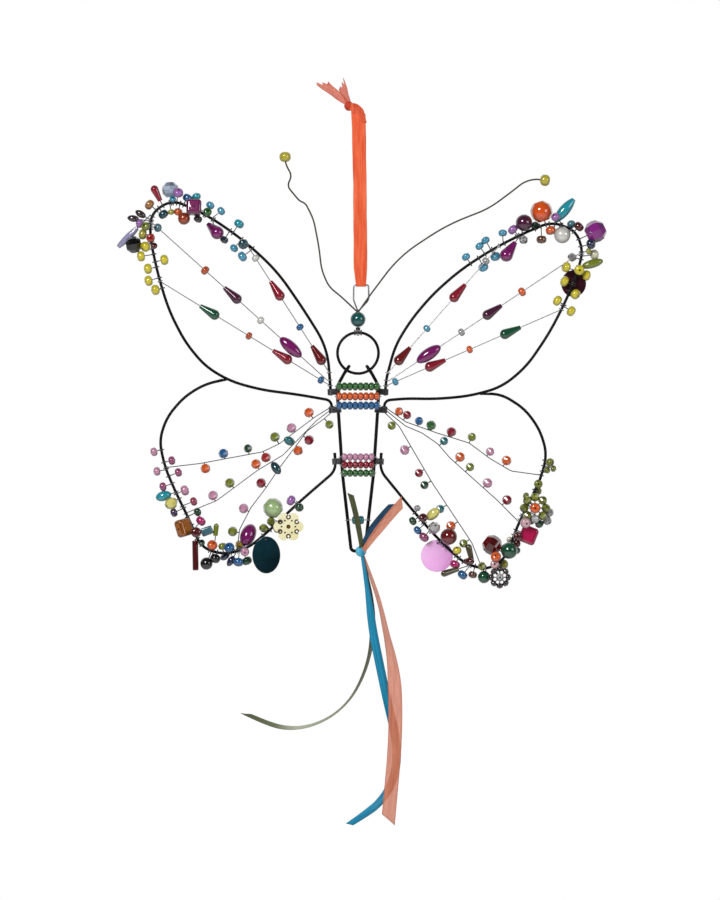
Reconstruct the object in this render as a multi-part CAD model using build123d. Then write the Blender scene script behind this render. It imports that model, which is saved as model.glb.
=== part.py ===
from build123d import *
import math
import os

os.makedirs("parts", exist_ok=True)

# Scale: places are read in pixels of a front view and sized by the wing span
WING_SPAN = 182.0
SPAN_PX = 431.4
AXIS_PX = 358.0
HOOK_PX = 110.5
MM_PER_PX = WING_SPAN / SPAN_PX

# Wire diameters
FRAME_WIRE = 1.6
PIN_WIRE = 0.5
PIN_STEM = 0.42
STRING_WIRE = 0.4
TWIG_WIRE = 0.5
TIE_WIRE = 0.5
ANTENNA_WIRE = 0.7
EYE_WIRE = 0.7

# Clearances
RUN_GAP = 0.12
HOOK_GAP = 0.25
SEAT_GAP = 0.03
BEAD_GAP = 0.18
STEM_GAP = 0.12
BORE_GAP = 0.14

# Bends: share of the shorter run taken by an arc, and the least turn worth an arc in degrees
RUN_SHARE = 0.45
LEAST_TURN = 1.5
BODY_BEND_REACH = 1.5
KINK_REACH = 0.8

# Wing feet beside the body wire
FOOT_OFFSET = 2.7
SLOT_PITCH = 0.75

# Bead sizes: diameter and length
TINY_SEED = (2.5, 1.9)
SMALL_SEED = (3.3, 2.5)
SEED = (3.9, 2.9)
PEARL = (4.7, 4.7)
LARGE_PEARL = (6.3, 6.3)
SMALL_CRYSTAL = (3.3, 3.0)
CRYSTAL = (4.6, 4.4)
LARGE_CRYSTAL = (6.3, 5.6)
GIANT_CRYSTAL = (8.3, 7.4)
STRING_DROP = (4.4, 9.4)
EDGE_DROP = (5.0, 8.4)
STRING_OVAL = (5.2, 12.0)
EDGE_OVAL = (5.8, 8.8)
LONG_OVAL = (3.3, 8.4)
SPINDLE = (4.2, 11.0)
BARREL = (3.8, 6.0)
CHIP = (2.6, 4.4)
DAGGER = (2.5, 7.0)
SHORT_DAGGER = (2.0, 4.6)
LEAF = (2.7, 10.2)
LEAF_DROP = (3.0, 6.4)
STICK = (2.3, 11.2)
SMALL_CUBE = (3.2, 4.4)
CUBE = (5.6, 5.8)
STONE = (7.4, 6.8)
NUGGET = (6.6, 6.4)
ROW_BEAD = (3.4, 2.2)
LOWER_ROW_BEAD = (3.1, 2.2)
TAIL_BEAD = (3.5, 2.5)
TWIG_BEAD = (3.7, 3.3)
SMALL_TWIG_BEAD = (3.2, 2.9)
TALL_TWIG_BEAD = (3.3, 5.4)
TIP_BEAD = (4.9, 4.2)

# Bead form shares
RIM_SHARE = 0.44
RIM_CENTRE_SHARE = 0.5
CUBE_RIM_SHARE = 0.2
NUGGET_DEPTH_SHARE = 0.62
TIP_SHARE = 0.62
FACET_SIDES = 8
FACET_SHARES = ((-0.5, 0.5), (-0.24, 0.93), (0, 1.0), (0.24, 0.93), (0.5, 0.5))

BOXED = ("cube", "small cube", "nugget")
BOX_CORNER_SHARE = 1.22

# Searching depth for a bead that must clear its neighbours
DEPTH_STEP = 0.25
DEPTH_STEPS = 44
REACH = 14.0
FOOT_TRIES = 14
RING_BALLS = 12
PIN_STUB = 0.35
FRONT = -1
BACK = 1
EITHER = 0


def place(px, py, depth=0):
    """Point of the front view, with its depth behind the wing plane."""
    return Vector((px - AXIS_PX) * MM_PER_PX, depth, (HOOK_PX - py) * MM_PER_PX)


def rounded(points, reach=None):
    """Straight runs joined by tangent arcs."""
    kept = [points[0]]
    for corner, after in zip(points[1:], points[2:]):
        turn = (corner - kept[-1]).get_angle(after - corner)
        if turn > LEAST_TURN:
            kept.append(corner)
    kept.append(points[-1])
    radii = []
    for before, corner, after in zip(kept, kept[1:], kept[2:]):
        run = min((corner - before).length, (after - corner).length)
        tangent = RUN_SHARE * run if reach is None else min(RUN_SHARE * run, reach)
        half_turn = math.radians((corner - before).get_angle(after - corner)) / 2
        radii.append(tangent / math.tan(half_turn))
    if not radii:
        return Polyline(*kept)
    return FilletPolyline(*kept, radius=radii)


def wire_along(path, diameter):
    """Round wire swept along a path."""
    start = Plane(origin=path @ 0, z_dir=path % 0)
    return sweep(start * Circle(diameter / 2), path=path).solid()


def rod(start, end, diameter):
    """Straight round rod between two points."""
    span = end - start
    base = Plane(origin=start, z_dir=span)
    return base * Cylinder(diameter / 2, span.length, align=(Align.CENTER, Align.CENTER, Align.MIN))


def eye(centre, axis, held, own, gap):
    """Ring of wire around another wire."""
    return Plane(origin=centre, z_dir=axis) * Torus((held + own) / 2 + gap, own / 2)


def square_to(run, heading):
    """Unit direction of a run, square to a heading."""
    return (run - heading * run.dot(heading) / heading.dot(heading)).normalized()


def stations(path, pitch):
    """Places along a path at even pitch, each with its direction."""
    found = []
    for edge in path.edges():
        count = max(1, int(edge.length / pitch))
        for index in range(count):
            share = (index + RIM_CENTRE_SHARE) / count
            found.append((edge @ share, edge % share))
    return found


def bored(body, length, bore):
    """Body with a straight hole along its axis."""
    return (body - Cylinder(bore / 2, length + bore)).solid()


def seed_bead(diameter, length, bore):
    body = Cylinder(diameter / 2, length)
    body = fillet(body.edges(), RIM_SHARE * length)
    return bored(body, length, bore)


def round_bead(diameter, length, bore):
    return bored(Sphere(diameter / 2), length, bore)


def oval_bead(diameter, length, bore):
    arc = EllipticalCenterArc((0, 0), diameter / 2, length / 2, start_angle=-90, arc_size=180)
    spine = Line(arc @ 1, arc @ 0)
    face = Plane.XZ * make_face([arc, spine])
    return bored(revolve(face, Axis.Z), length, bore)


def drop_bead(diameter, length, bore):
    """Drop with its narrow end towards the pin's foot."""
    bulb = diameter / 2
    centre = length / 2 - bulb
    tip = Vector(TIP_SHARE * bore + bore / 2, -length / 2)
    to_tip = tip - Vector(0, centre)
    lean = math.atan2(to_tip.Y, to_tip.X) + math.acos(bulb / to_tip.length)
    touch = Vector(bulb * math.cos(lean), centre + bulb * math.sin(lean))
    arc = ThreePointArc(touch, (bulb * math.cos(lean / 2 + math.pi / 4),
                                centre + bulb * math.sin(lean / 2 + math.pi / 4)),
                        (0, length / 2))
    taper = Line(tip, touch)
    end = Line((0, -length / 2), tip)
    spine = Line((0, length / 2), (0, -length / 2))
    face = Plane.XZ * make_face([spine, end, taper, arc])
    return bored(revolve(face, Axis.Z), length, bore)


def spindle_bead(diameter, length, bore):
    arc = ThreePointArc((bore, -length / 2), (diameter / 2, 0), (bore, length / 2))
    top = Line((bore, length / 2), (0, length / 2))
    spine = Line((0, length / 2), (0, -length / 2))
    base = Line((0, -length / 2), (bore, -length / 2))
    face = Plane.XZ * make_face([arc, top, spine, base])
    return bored(revolve(face, Axis.Z), length, bore)


def faceted_bead(diameter, length, bore):
    layers = []
    for height_share, width_share in FACET_SHARES:
        level = Plane.XY.offset(height_share * length)
        layers.append(level * RegularPolygon(width_share * diameter / 2, FACET_SIDES))
    return bored(loft(layers, ruled=True), length, bore)


def tube_bead(diameter, length, bore):
    body = Cylinder(diameter / 2, length)
    body = fillet(body.edges(), CUBE_RIM_SHARE * diameter)
    return bored(body, length, bore)


def cube_bead(diameter, length, bore):
    body = Box(diameter, diameter, length)
    body = fillet(body.edges(), CUBE_RIM_SHARE * diameter)
    return bored(body, length, bore)


def nugget_bead(diameter, length, bore):
    body = Box(diameter, NUGGET_DEPTH_SHARE * diameter, length)
    body = fillet(body.edges(), CUBE_RIM_SHARE * diameter)
    return bored(body, length, bore)


PIN_BORE = PIN_WIRE + 2 * BORE_GAP
FORMS = {
    "tiny seed": (seed_bead, TINY_SEED),
    "small seed": (seed_bead, SMALL_SEED),
    "seed": (seed_bead, SEED),
    "pearl": (round_bead, PEARL),
    "large pearl": (round_bead, LARGE_PEARL),
    "small crystal": (faceted_bead, SMALL_CRYSTAL),
    "crystal": (faceted_bead, CRYSTAL),
    "large crystal": (faceted_bead, LARGE_CRYSTAL),
    "giant crystal": (faceted_bead, GIANT_CRYSTAL),
    "string drop": (drop_bead, STRING_DROP),
    "edge drop": (drop_bead, EDGE_DROP),
    "string oval": (oval_bead, STRING_OVAL),
    "edge oval": (oval_bead, EDGE_OVAL),
    "long oval": (oval_bead, LONG_OVAL),
    "spindle": (spindle_bead, SPINDLE),
    "barrel": (oval_bead, BARREL),
    "chip": (oval_bead, CHIP),
    "dagger": (drop_bead, DAGGER),
    "short dagger": (drop_bead, SHORT_DAGGER),
    "leaf": (spindle_bead, LEAF),
    "leaf drop": (drop_bead, LEAF_DROP),
    "stick": (tube_bead, STICK),
    "small cube": (cube_bead, SMALL_CUBE),
    "cube": (cube_bead, CUBE),
    "stone": (faceted_bead, STONE),
    "nugget": (nugget_bead, NUGGET),
    "row bead": (seed_bead, ROW_BEAD),
    "lower row bead": (seed_bead, LOWER_ROW_BEAD),
    "tail bead": (seed_bead, TAIL_BEAD),
    "twig bead": (faceted_bead, TWIG_BEAD),
    "small twig bead": (faceted_bead, SMALL_TWIG_BEAD),
    "tall twig bead": (oval_bead, TALL_TWIG_BEAD),
    "tip bead": (seed_bead, TIP_BEAD),
}
BEADS = {name: (maker(*size, PIN_BORE), *size) for name, (maker, size) in FORMS.items()}


def set_bead(form, centre, axis):
    """Copy of a bead with its bore along an axis; flat beads keep their face to the front."""
    across = Vector(0, 1, 0).cross(axis)
    if across.length < SEAT_GAP:
        across = Vector(1, 0, 0)
    return Plane(origin=centre, x_dir=across, z_dir=axis).location * BEADS[form][0]


def balls_along(start, end, radius):
    """Row of balls standing for a round rod in the clearance tests."""
    count = max(1, math.ceil((end - start).length / radius))
    return [(start + (end - start) * (index / count), radius) for index in range(count + 1)]


def bead_balls(form, centre, axis):
    """Balls standing for a bead in the clearance tests."""
    solid, diameter, length = BEADS[form]
    half = max(0, (length - diameter) / 2)
    if form in BOXED:
        diameter = diameter * BOX_CORNER_SHARE
    return balls_along(centre - axis * half, centre + axis * half, diameter / 2)


class Crowd:
    """Balls that later pieces must clear."""

    def __init__(self):
        self.balls = []

    def add(self, balls):
        self.balls += [(tuple(point), radius) for point, radius in balls]

    def near(self, centre):
        spot = tuple(centre)
        return [ball for ball in self.balls if math.dist(ball[0][::2], spot[::2]) < REACH]


def ring_balls(centre, heading, held, own):
    """Balls standing for a ring of wire in the clearance tests."""
    first = square_to(Vector(0, 1, 0), heading) * ((held + own) / 2)
    second = heading.normalized().cross(first)
    balls = []
    for index in range(RING_BALLS):
        turn = math.tau * index / RING_BALLS
        balls.append((centre + first * math.cos(turn) + second * math.sin(turn), own / 2))
    return balls


def clears(balls, others, gap):
    """Whether every ball keeps the gap from all the others."""
    for point, radius in balls:
        spot = tuple(point)
        for other, other_radius in others:
            if math.dist(spot, other) < radius + other_radius + gap:
                return False
    return True


def depths(side):
    """Depths to try, nearest the wing plane first."""
    for step in range(DEPTH_STEPS):
        for sign in ((side,) if side else (FRONT, BACK)):
            yield sign * step * DEPTH_STEP


def try_bead(others, frames, foot, heading, reach, target, form, side):
    """Least depth at which a bead on a straight pin from a wire clears the rest."""
    solid, diameter, length = BEADS[form]
    ring = ring_balls(foot, heading, FRAME_WIRE, PIN_WIRE) if reach else []
    if not clears(ring, others, STEM_GAP / 2):
        return None
    for depth in depths(side):
        centre = Vector(target.X, target.Y + depth, target.Z)
        if (centre - foot).length < FRAME_WIRE / 2:
            continue
        start = foot + square_to(centre - foot, heading) * reach
        axis = (centre - start).normalized()
        if (centre - start).length < (length + PIN_WIRE) / 2 + BEAD_GAP:
            continue
        far = centre + axis * (length / 2 + PIN_STUB)
        body = bead_balls(form, centre, axis)
        stem = balls_along(start + axis * 2 * PIN_WIRE, far, PIN_WIRE / 2)
        if not clears(body, frames, BEAD_GAP) or not clears(body, others, BEAD_GAP):
            continue
        if not clears(stem, others, STEM_GAP):
            continue
        return abs(depth), centre, axis, start, far, body + stem + ring
    return None


def hang_bead(crowd, frame_crowd, feet, reach, target, form, side):
    """Bead on a pin from the foot that keeps it nearest the wing plane; the foot is then taken."""
    others = crowd.near(target)
    frames = frame_crowd.near(target)
    nearest = sorted(range(len(feet)), key=lambda index: (feet[index][0] - target).length)[:FOOT_TRIES]
    options = []
    for index in nearest:
        spot, heading = feet[index]
        found = try_bead(others, frames, spot, heading, reach, target, form, side)
        if found:
            options.append((found[0] + (spot - target).length / 2, index, found))
    if not options:
        print("no place for", form, target)
        return None
    cost, index, (depth, centre, axis, start, far, balls) = min(options, key=lambda option: option[0])
    crowd.add(balls)
    spot, heading = feet.pop(index) if reach else feet[index]
    return set_bead(form, centre, axis), start, far, spot, heading


# Hanger: a ribbon band closed over the hook, tapering into the eye, with a knot and two cut ends
RIBBON_THICKNESS = 0.25
RIBBON_PITCH = 3.0
CHAIN_SPLIT = 0.42
LOOP_INNER_RADIUS = 2.7
EYE_LINE_PX = 285.0
BIGHT_INNER_RADIUS = EYE_WIRE / 2 + RUN_GAP
BAND_OUTLINE_PX = [(351.5, 100), (365.3, 100), (367.4, 268), (365.8, 292), (356.6, 292), (353.8, 268)]
BAND_DEPTH = 20.0
KNOT_PX = (349.0, 106.0)
KNOT_DIAMETER = 4.4
KNOT_LENGTH = 4.2
END_WIDTH = 3.6
END_LAYER = 0.6
LONG_END_PX = [(347.5, 104), (336, 95), (322.5, 83.5)]
SHORT_END_PX = [(348.5, 103), (345.5, 94), (342, 85)]


def pebble(diameter, length):
    body = Cylinder(diameter / 2, length, rotation=(0, 90, 0))
    return fillet(body.edges(), RIM_SHARE * length)


eye_line = place(AXIS_PX, EYE_LINE_PX, CHAIN_SPLIT)


def band_core(extra):
    """Solid hull of the hanger loop, as two cylinders and the tangent sides between them."""
    high, low = band_centres
    upper = LOOP_INNER_RADIUS + extra
    lower = BIGHT_INNER_RADIUS + extra
    drop = (high - low).length
    lean = math.asin((upper - lower) / drop)
    side = (math.cos(lean), math.sin(lean))
    corners = []
    for centre, radius, hand in ((high, upper, 1), (high, upper, -1), (low, lower, -1), (low, lower, 1)):
        corners.append((hand * radius * side[0] + centre.Y, centre.Z + radius * side[1]))
    waist = Plane.YZ * make_face(Polyline(*corners, close=True))
    body = extrude(waist, BAND_DEPTH, both=True)
    for centre, radius in ((high, upper), (low, lower)):
        body = body + Plane(origin=centre, z_dir=(1, 0, 0)) * Cylinder(radius, 2 * BAND_DEPTH)
    return body


band_centres = (Vector(0, CHAIN_SPLIT, -LOOP_INNER_RADIUS), Vector(0, CHAIN_SPLIT, eye_line.Z))
band_outline = [place(*spot) for spot in BAND_OUTLINE_PX]
band_cutter = extrude(make_face(Polyline(*band_outline, close=True)), BAND_DEPTH, dir=(0, 1, 0), both=True)
hanger_ribbon = ((band_core(RIBBON_THICKNESS) - band_core(0)) & band_cutter).solid()
knot_centre = place(*KNOT_PX, CHAIN_SPLIT)
hanger_knot = (Location(knot_centre) * pebble(KNOT_DIAMETER, KNOT_LENGTH) - hanger_ribbon).solid()


def ribbon(points, widths, twists):
    """Flat ribbon along a path, with a width and a twist in degrees at each point."""
    path = rounded(points)
    places = stations(path, RIBBON_PITCH)
    places = [(path @ 0, path % 0)] + sorted(places, key=lambda spot: along(points, spot[0]))
    places.append((path @ 1, path % 1))
    sections = []
    for spot, heading in places:
        share = along(points, spot)
        turn = math.radians(blend(twists, share))
        flat = heading.cross(Vector(0, 1, 0)).normalized()
        deep = heading.cross(flat).normalized()
        across = flat * math.cos(turn) + deep * math.sin(turn)
        section = Plane(origin=spot, x_dir=across, z_dir=heading)
        sections.append(section * Rectangle(blend(widths, share), RIBBON_THICKNESS))
    return loft(sections, ruled=True).solid(), path


def along(points, spot):
    """How far along a run of points a place is, counted in points."""
    best = None
    for index, (start, end) in enumerate(zip(points, points[1:])):
        run = end - start
        share = max(0, min(1, (spot - start).dot(run) / run.dot(run)))
        gap = (start + run * share - spot).length
        if best is None or gap < best[0]:
            best = (gap, index + share)
    return best[1]


def blend(values, share):
    index = min(int(share), len(values) - 2)
    return values[index] + (values[index + 1] - values[index]) * (share - index)


def flat_end(points_px, width, first_depth, last_depth, cutter):
    """Short flat ribbon end that starts in a knot."""
    count = len(points_px) - 1
    points = []
    for index, spot in enumerate(points_px):
        points.append(place(*spot, first_depth + (last_depth - first_depth) * index / count))
    strip, path = ribbon(points, [width] * len(points), [0] * len(points))
    return (strip - cutter).solids().sort_by(SortBy.VOLUME)[-1]


whole_knot = Location(knot_centre) * pebble(KNOT_DIAMETER, KNOT_LENGTH)
hanger_ends = [
    flat_end(LONG_END_PX, END_WIDTH, CHAIN_SPLIT - END_LAYER, CHAIN_SPLIT - END_LAYER, whole_knot),
    flat_end(SHORT_END_PX, END_WIDTH, CHAIN_SPLIT + END_LAYER, CHAIN_SPLIT + END_LAYER, whole_knot),
]

# Head link: wire eye, pearl, stem and two antennae
PEARL_PX = (358.0, 319.4)
HEAD_PEARL = 6.5
PEARL_BORE = 2.1
STEM_WIRE = 0.6
EYE_OUTLINE_PX = [(358.0, 311.5), (368.8, 300.0), (368.6, 285.0), (353.8, 285.0), (353.6, 300.0)]
EYE_BENDS = (0.6, 3.0, 0.9, 0.9, 3.0)
STEM_TOP_PX = 312.5
LEFT_ANTENNA_PX = [(358, 312.5), (341, 296.5), (329, 287), (321.5, 270), (319, 247), (313.5, 219),
                   (305.5, 203.5), (299.5, 201), (287, 186), (292, 176), (285.3, 163.5), (285, 152)]
RIGHT_ANTENNA_PX = [(358, 312.5), (368, 298), (399, 256.5), (424, 240), (447, 225), (489, 208.5),
                    (510, 193), (524, 182), (535, 179), (550, 181)]
LEFT_TIP_PX = (285.1, 157.0)
RIGHT_TIP_PX = (545.0, 180.3)

pearl_centre = place(*PEARL_PX)
head_pearl = Location(pearl_centre) * bored(Sphere(HEAD_PEARL / 2), HEAD_PEARL, PEARL_BORE)
eye_points = [place(*spot, CHAIN_SPLIT) for spot in EYE_OUTLINE_PX]
eye_path = FilletPolyline(*eye_points, radius=EYE_BENDS, close=True)
eye_loop = wire_along(eye_path, EYE_WIRE)
eye_bottom = min((spot for spot, heading in stations(eye_path, RUN_GAP)), key=lambda spot: spot.Z)
eye_stem = rod(place(*PEARL_PX, CHAIN_SPLIT), Vector(eye_bottom.X, CHAIN_SPLIT, eye_bottom.Z), STEM_WIRE)
hanging_eye = (eye_loop + eye_stem).solid()

# Head ring and the body wire that hooks round it
RING_PX = (358.0, 353.0)
RING_RADIUS_PX = 20.5
HOOK_ANGLE = 34.0
SHOULDER_PX = (336.8, 387.0)
WAIST_PX = (342.5, 474.0)
TAIL_PX = (351.2, 551.0)

ring_centre = place(*RING_PX)
ring_radius = RING_RADIUS_PX * MM_PER_PX
ring_top = ring_centre + Vector(0, 0, ring_radius)
head_ring = Plane(origin=ring_centre, z_dir=(0, 1, 0)) * Torus(ring_radius, FRAME_WIRE / 2)

stem_reach = (FRAME_WIRE + STEM_WIRE) / 2 + RUN_GAP
stem_foot = ring_top + Vector(0, -CHAIN_SPLIT, math.sqrt(stem_reach ** 2 - CHAIN_SPLIT ** 2))
stem_top = place(AXIS_PX, STEM_TOP_PX, -CHAIN_SPLIT)
antenna_wire = eye(ring_top, Vector(1, 0, 0), FRAME_WIRE, STEM_WIRE, RUN_GAP)
antenna_wire = antenna_wire + rod(stem_foot, stem_top, STEM_WIRE)
antenna_wire = antenna_wire + Location(stem_top) * Sphere(ANTENNA_WIRE / 2 + SEAT_GAP)
antenna_tip_beads = []
TIP_BORE = ANTENNA_WIRE + 2 * BORE_GAP
for route_px, tip_px in ((LEFT_ANTENNA_PX, LEFT_TIP_PX), (RIGHT_ANTENNA_PX, RIGHT_TIP_PX)):
    route = [place(*spot, -CHAIN_SPLIT) for spot in route_px]
    path = rounded(route)
    antenna_wire = antenna_wire + wire_along(path, ANTENNA_WIRE)
    heading = (route[-1] - route[-2]).normalized()
    tip = place(*tip_px, -CHAIN_SPLIT)
    bead = seed_bead(*TIP_BEAD, TIP_BORE)
    tip = route[-2] + heading * (tip - route[-2]).dot(heading)
    antenna_tip_beads.append(Plane(origin=tip, z_dir=heading).location * bead)
antenna_wire = antenna_wire.solid()

hook_turn = math.radians(HOOK_ANGLE)
eye_reach = FRAME_WIRE + HOOK_GAP
body_points = []
hook_eyes = []
for hand in (-1, 1):
    outward = Vector(hand * math.sin(hook_turn), 0, -math.cos(hook_turn))
    hook = ring_centre + outward * ring_radius
    hook_eyes.append(eye(hook, outward.cross(Vector(0, 1, 0)), FRAME_WIRE, FRAME_WIRE, HOOK_GAP))
    half = [hook + outward * eye_reach]
    for spot in (SHOULDER_PX, WAIST_PX, TAIL_PX):
        half.append(place(AXIS_PX + hand * (AXIS_PX - spot[0]), spot[1]))
    body_points += half if hand < 0 else half[::-1]
body_path = rounded(body_points, BODY_BEND_REACH)
body_frame = wire_along(body_path, FRAME_WIRE)
for hook_eye in hook_eyes:
    body_frame = (body_frame + hook_eye).solid()

# Rows of beads on cross wires, which pass in front of the body wire and bend back to a turn round it
ROWS_PX = {"green_row": 386.6, "orange_row": 396.5, "blue_row": 405.7, "pink_row": 457.0,
           "crimson_row": 464.8, "lower_green_row": 473.0}
LOWER_ROWS = ("pink_row", "crimson_row", "lower_green_row")
TAIL_ROW_PX = 520.0
ROW_OVERLAP = 0.8
ROW_GAP = 0.06
ROW_CLEAR = 0.4
ROW_BEND = 0.6
ROW_BEND_RADIUS = 0.45
LEG_TURN = 45.0
TAIL_PAIR = 2
body_places = stations(body_path, RUN_GAP)


def body_spot(level, hand):
    """Place on the body wire at a height, on one side."""
    sided = [spot for spot in body_places if spot[0].X * hand > 0]
    return min(sided, key=lambda spot: abs(spot[0].Z - level))


cross_wires = []
row_beads = {}
row_axes = {}
turn_reach = (FRAME_WIRE + STRING_WIRE) / 2 + SEAT_GAP
leg_out = turn_reach * math.sin(math.radians(LEG_TURN))
leg_front = turn_reach * math.cos(math.radians(LEG_TURN))
for name, level_px in {**ROWS_PX, "tail_pair": TAIL_ROW_PX}.items():
    level = place(AXIS_PX, level_px).Z
    ends = [body_spot(level, hand) for hand in (-1, 1)]
    half = ends[1][0].X
    form = "tail bead" if name == "tail_pair" else "lower row bead" if name in LOWER_ROWS else "row bead"
    pitch = BEADS[form][2] + ROW_GAP
    if name == "tail_pair":
        count = TAIL_PAIR
        depth = 0
        wire = rod(Vector(-half + turn_reach, 0, level), Vector(half - turn_reach, 0, level), STRING_WIRE)
    else:
        count = int((2 * (half + ROW_OVERLAP) + ROW_GAP) / pitch)
        depth = -(FRAME_WIRE / 2 + RUN_GAP + TIE_WIRE + ROW_CLEAR + BEADS[form][1] / 2)
        far = count * pitch / 2 + ROW_BEND
        feet = []
        for hand, (spot, heading) in zip((-1, 1), ends):
            out = square_to(Vector(hand, 0, 0), heading)
            feet.append(Vector(spot.X, 0, level) + out * leg_out - Vector(0, leg_front, 0))
        route = [feet[0], Vector(-far, depth, level), Vector(far, depth, level), feet[1]]
        wire = wire_along(FilletPolyline(*route, radius=ROW_BEND_RADIUS), STRING_WIRE)
    for spot, heading in ends:
        wire = wire + eye(Vector(spot.X, 0, level), heading, FRAME_WIRE, STRING_WIRE, SEAT_GAP)
    cross_wires.append(wire.solid())
    beads = []
    for index in range(count):
        offset = (index - (count - 1) / 2) * pitch
        beads.append(set_bead(form, Vector(offset, depth, level), Vector(1, 0, 0)))
    row_beads[name] = beads
    row_axes[name] = (depth, level)

# Wings: control points of the wires, in order from the upper foot round to the lower foot
UPPER_FOOT_PX = (395.5, 379.0)
MIDDLE_FOOT_PX = (400.0, 412.0)
LOWER_FOOT_PX = (470.0, 452.0)
TIES_PX = (391.6, 408.4, 459.8)
UPPER_ROOTS_PX = (372.5, 379.5, 385.5)
LOWER_ROOTS_PX = (406.2, 410.2, 411.5)
STRING_LAYER = 1.05
UPPER_WING_PX = {
    -1: [(327.5, 348), (304, 310), (277, 271), (244, 240.5), (208, 215.5), (172, 199.5), (150, 214),
         (150.5, 240), (158.5, 277), (169.5, 312), (186, 343.5), (206, 367), (231, 381.5), (262, 390),
         (298, 394.5)],
    1: [(395, 346), (411, 320), (432, 295), (459, 271), (491, 250), (522, 234), (552, 221.5), (576, 231),
        (583, 251), (577, 274), (566, 300.5), (550, 332), (527, 366), (502, 387), (470, 396), (436, 399),
        (406, 398.5)],
}
LOWER_WING_PX = {
    -1: [(226, 380.5), (204, 384.5), (184, 397), (167, 417), (159.3, 440), (164.5, 466), (176, 493),
         (189, 519), (201, 547), (222, 554.5), (247, 549), (270, 530), (298, 503)],
    1: [(480.5, 393), (502, 394.5), (525, 409), (540, 430), (547, 454), (541, 478), (529, 503), (516, 529),
        (507, 556), (489, 570), (465, 564), (439, 540), (414, 512)],
}

# Upper strings: outer end, and the beads by their share of the string from the root
UPPER_ENDS_PX = {
    -1: [(246, 243), (153, 224), (160, 281)],
    1: [(500, 246), (581, 254), (562, 309)],
}
UPPER_BEAD_SHARES = [
    [(0.135, "string drop"), (0.35, "small seed"), (0.63, "string drop"), (0.88, "small seed")],
    [(0.21, "string oval"), (0.382, "small seed"), (0.544, "string drop"), (0.70, "seed")],
    [(0.055, "small seed"), (0.282, "string drop"), (0.478, "small seed"), (0.71, "string drop")],
]

# Lower strings: points between the root and the outer end, and their beads on twigs
LOWER_STRINGS_PX = {
    -1: [[(315, 417), (296, 431), (279, 444), (262, 452), (231, 457.5), (200, 463.5), (166, 468)],
         [(316, 421), (283, 455), (258, 470), (234, 488), (216.5, 500.7), (190, 511)],
         [(322.4, 420), (307, 431), (279, 468.4), (266.3, 487.3), (250.8, 507.7), (239.6, 529.4), (236, 552)]],
    1: [[(406, 422), (437, 433), (469, 443), (490, 458.6), (511, 471), (541, 476)],
        [(405.4, 426), (422, 433), (437.7, 443.8), (450, 458), (497, 500), (516, 520)],
        [(399, 426), (410, 444.5), (432.8, 483.8), (446.8, 505), (458, 522.4), (472, 543), (482, 567)]],
}
TWIG_BEADS_PX = {
    -1: [[(309, 412.6, "twig bead", "orange"), (291.5, 428, "twig bead", "violet"),
          (275, 437, "twig bead", "green"), (266, 457.5, "twig bead", "red"),
          (248, 448.5, "small twig bead", "green"), (223.5, 453.5, "twig bead", "blue"),
          (205.5, 468.5, "twig bead", "orange")],
         [(289.5, 441, "tall twig bead", "blue"), (276, 468, "tall twig bead", "blue"),
          (256, 464, "twig bead", "orange"), (229.8, 483, "twig bead", "green"),
          (213, 495.5, "twig bead", "violet")],
         [(329.4, 424.5, "small twig bead", "green"), (309, 440, "twig bead", "red"),
          (298, 450.5, "twig bead", "orange"), (261, 483, "twig bead", "red"),
          (243.5, 508.5, "twig bead", "violet"), (232.6, 531.5, "twig bead", "green")]],
    1: [[(399, 411.5, "small twig bead", "orange"), (407, 415, "small twig bead", "red"),
         (419, 421, "small twig bead", "blue"), (431, 425.5, "twig bead", "green"),
         (451.3, 432, "twig bead", "red"), (471.8, 437, "small twig bead", "green"),
         (490, 451.6, "small twig bead", "violet"), (506.4, 460.5, "twig bead", "orange")],
        [(444, 441, "small twig bead", "blue"), (460, 457, "twig bead", "orange"),
         (470, 467, "small twig bead", "green"), (487.5, 483, "twig bead", "violet"),
         (507, 500, "twig bead", "red")],
        [(391.7, 425.6, "small twig bead", "green"), (404.7, 450, "twig bead", "violet"),
         (419, 473, "small twig bead", "red"), (424.5, 485, "small twig bead", "green"),
         (440.2, 509, "small twig bead", "blue"), (451, 526, "twig bead", "orange"),
         (463.5, 543.5, "small twig bead", "green")]],
}

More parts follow.
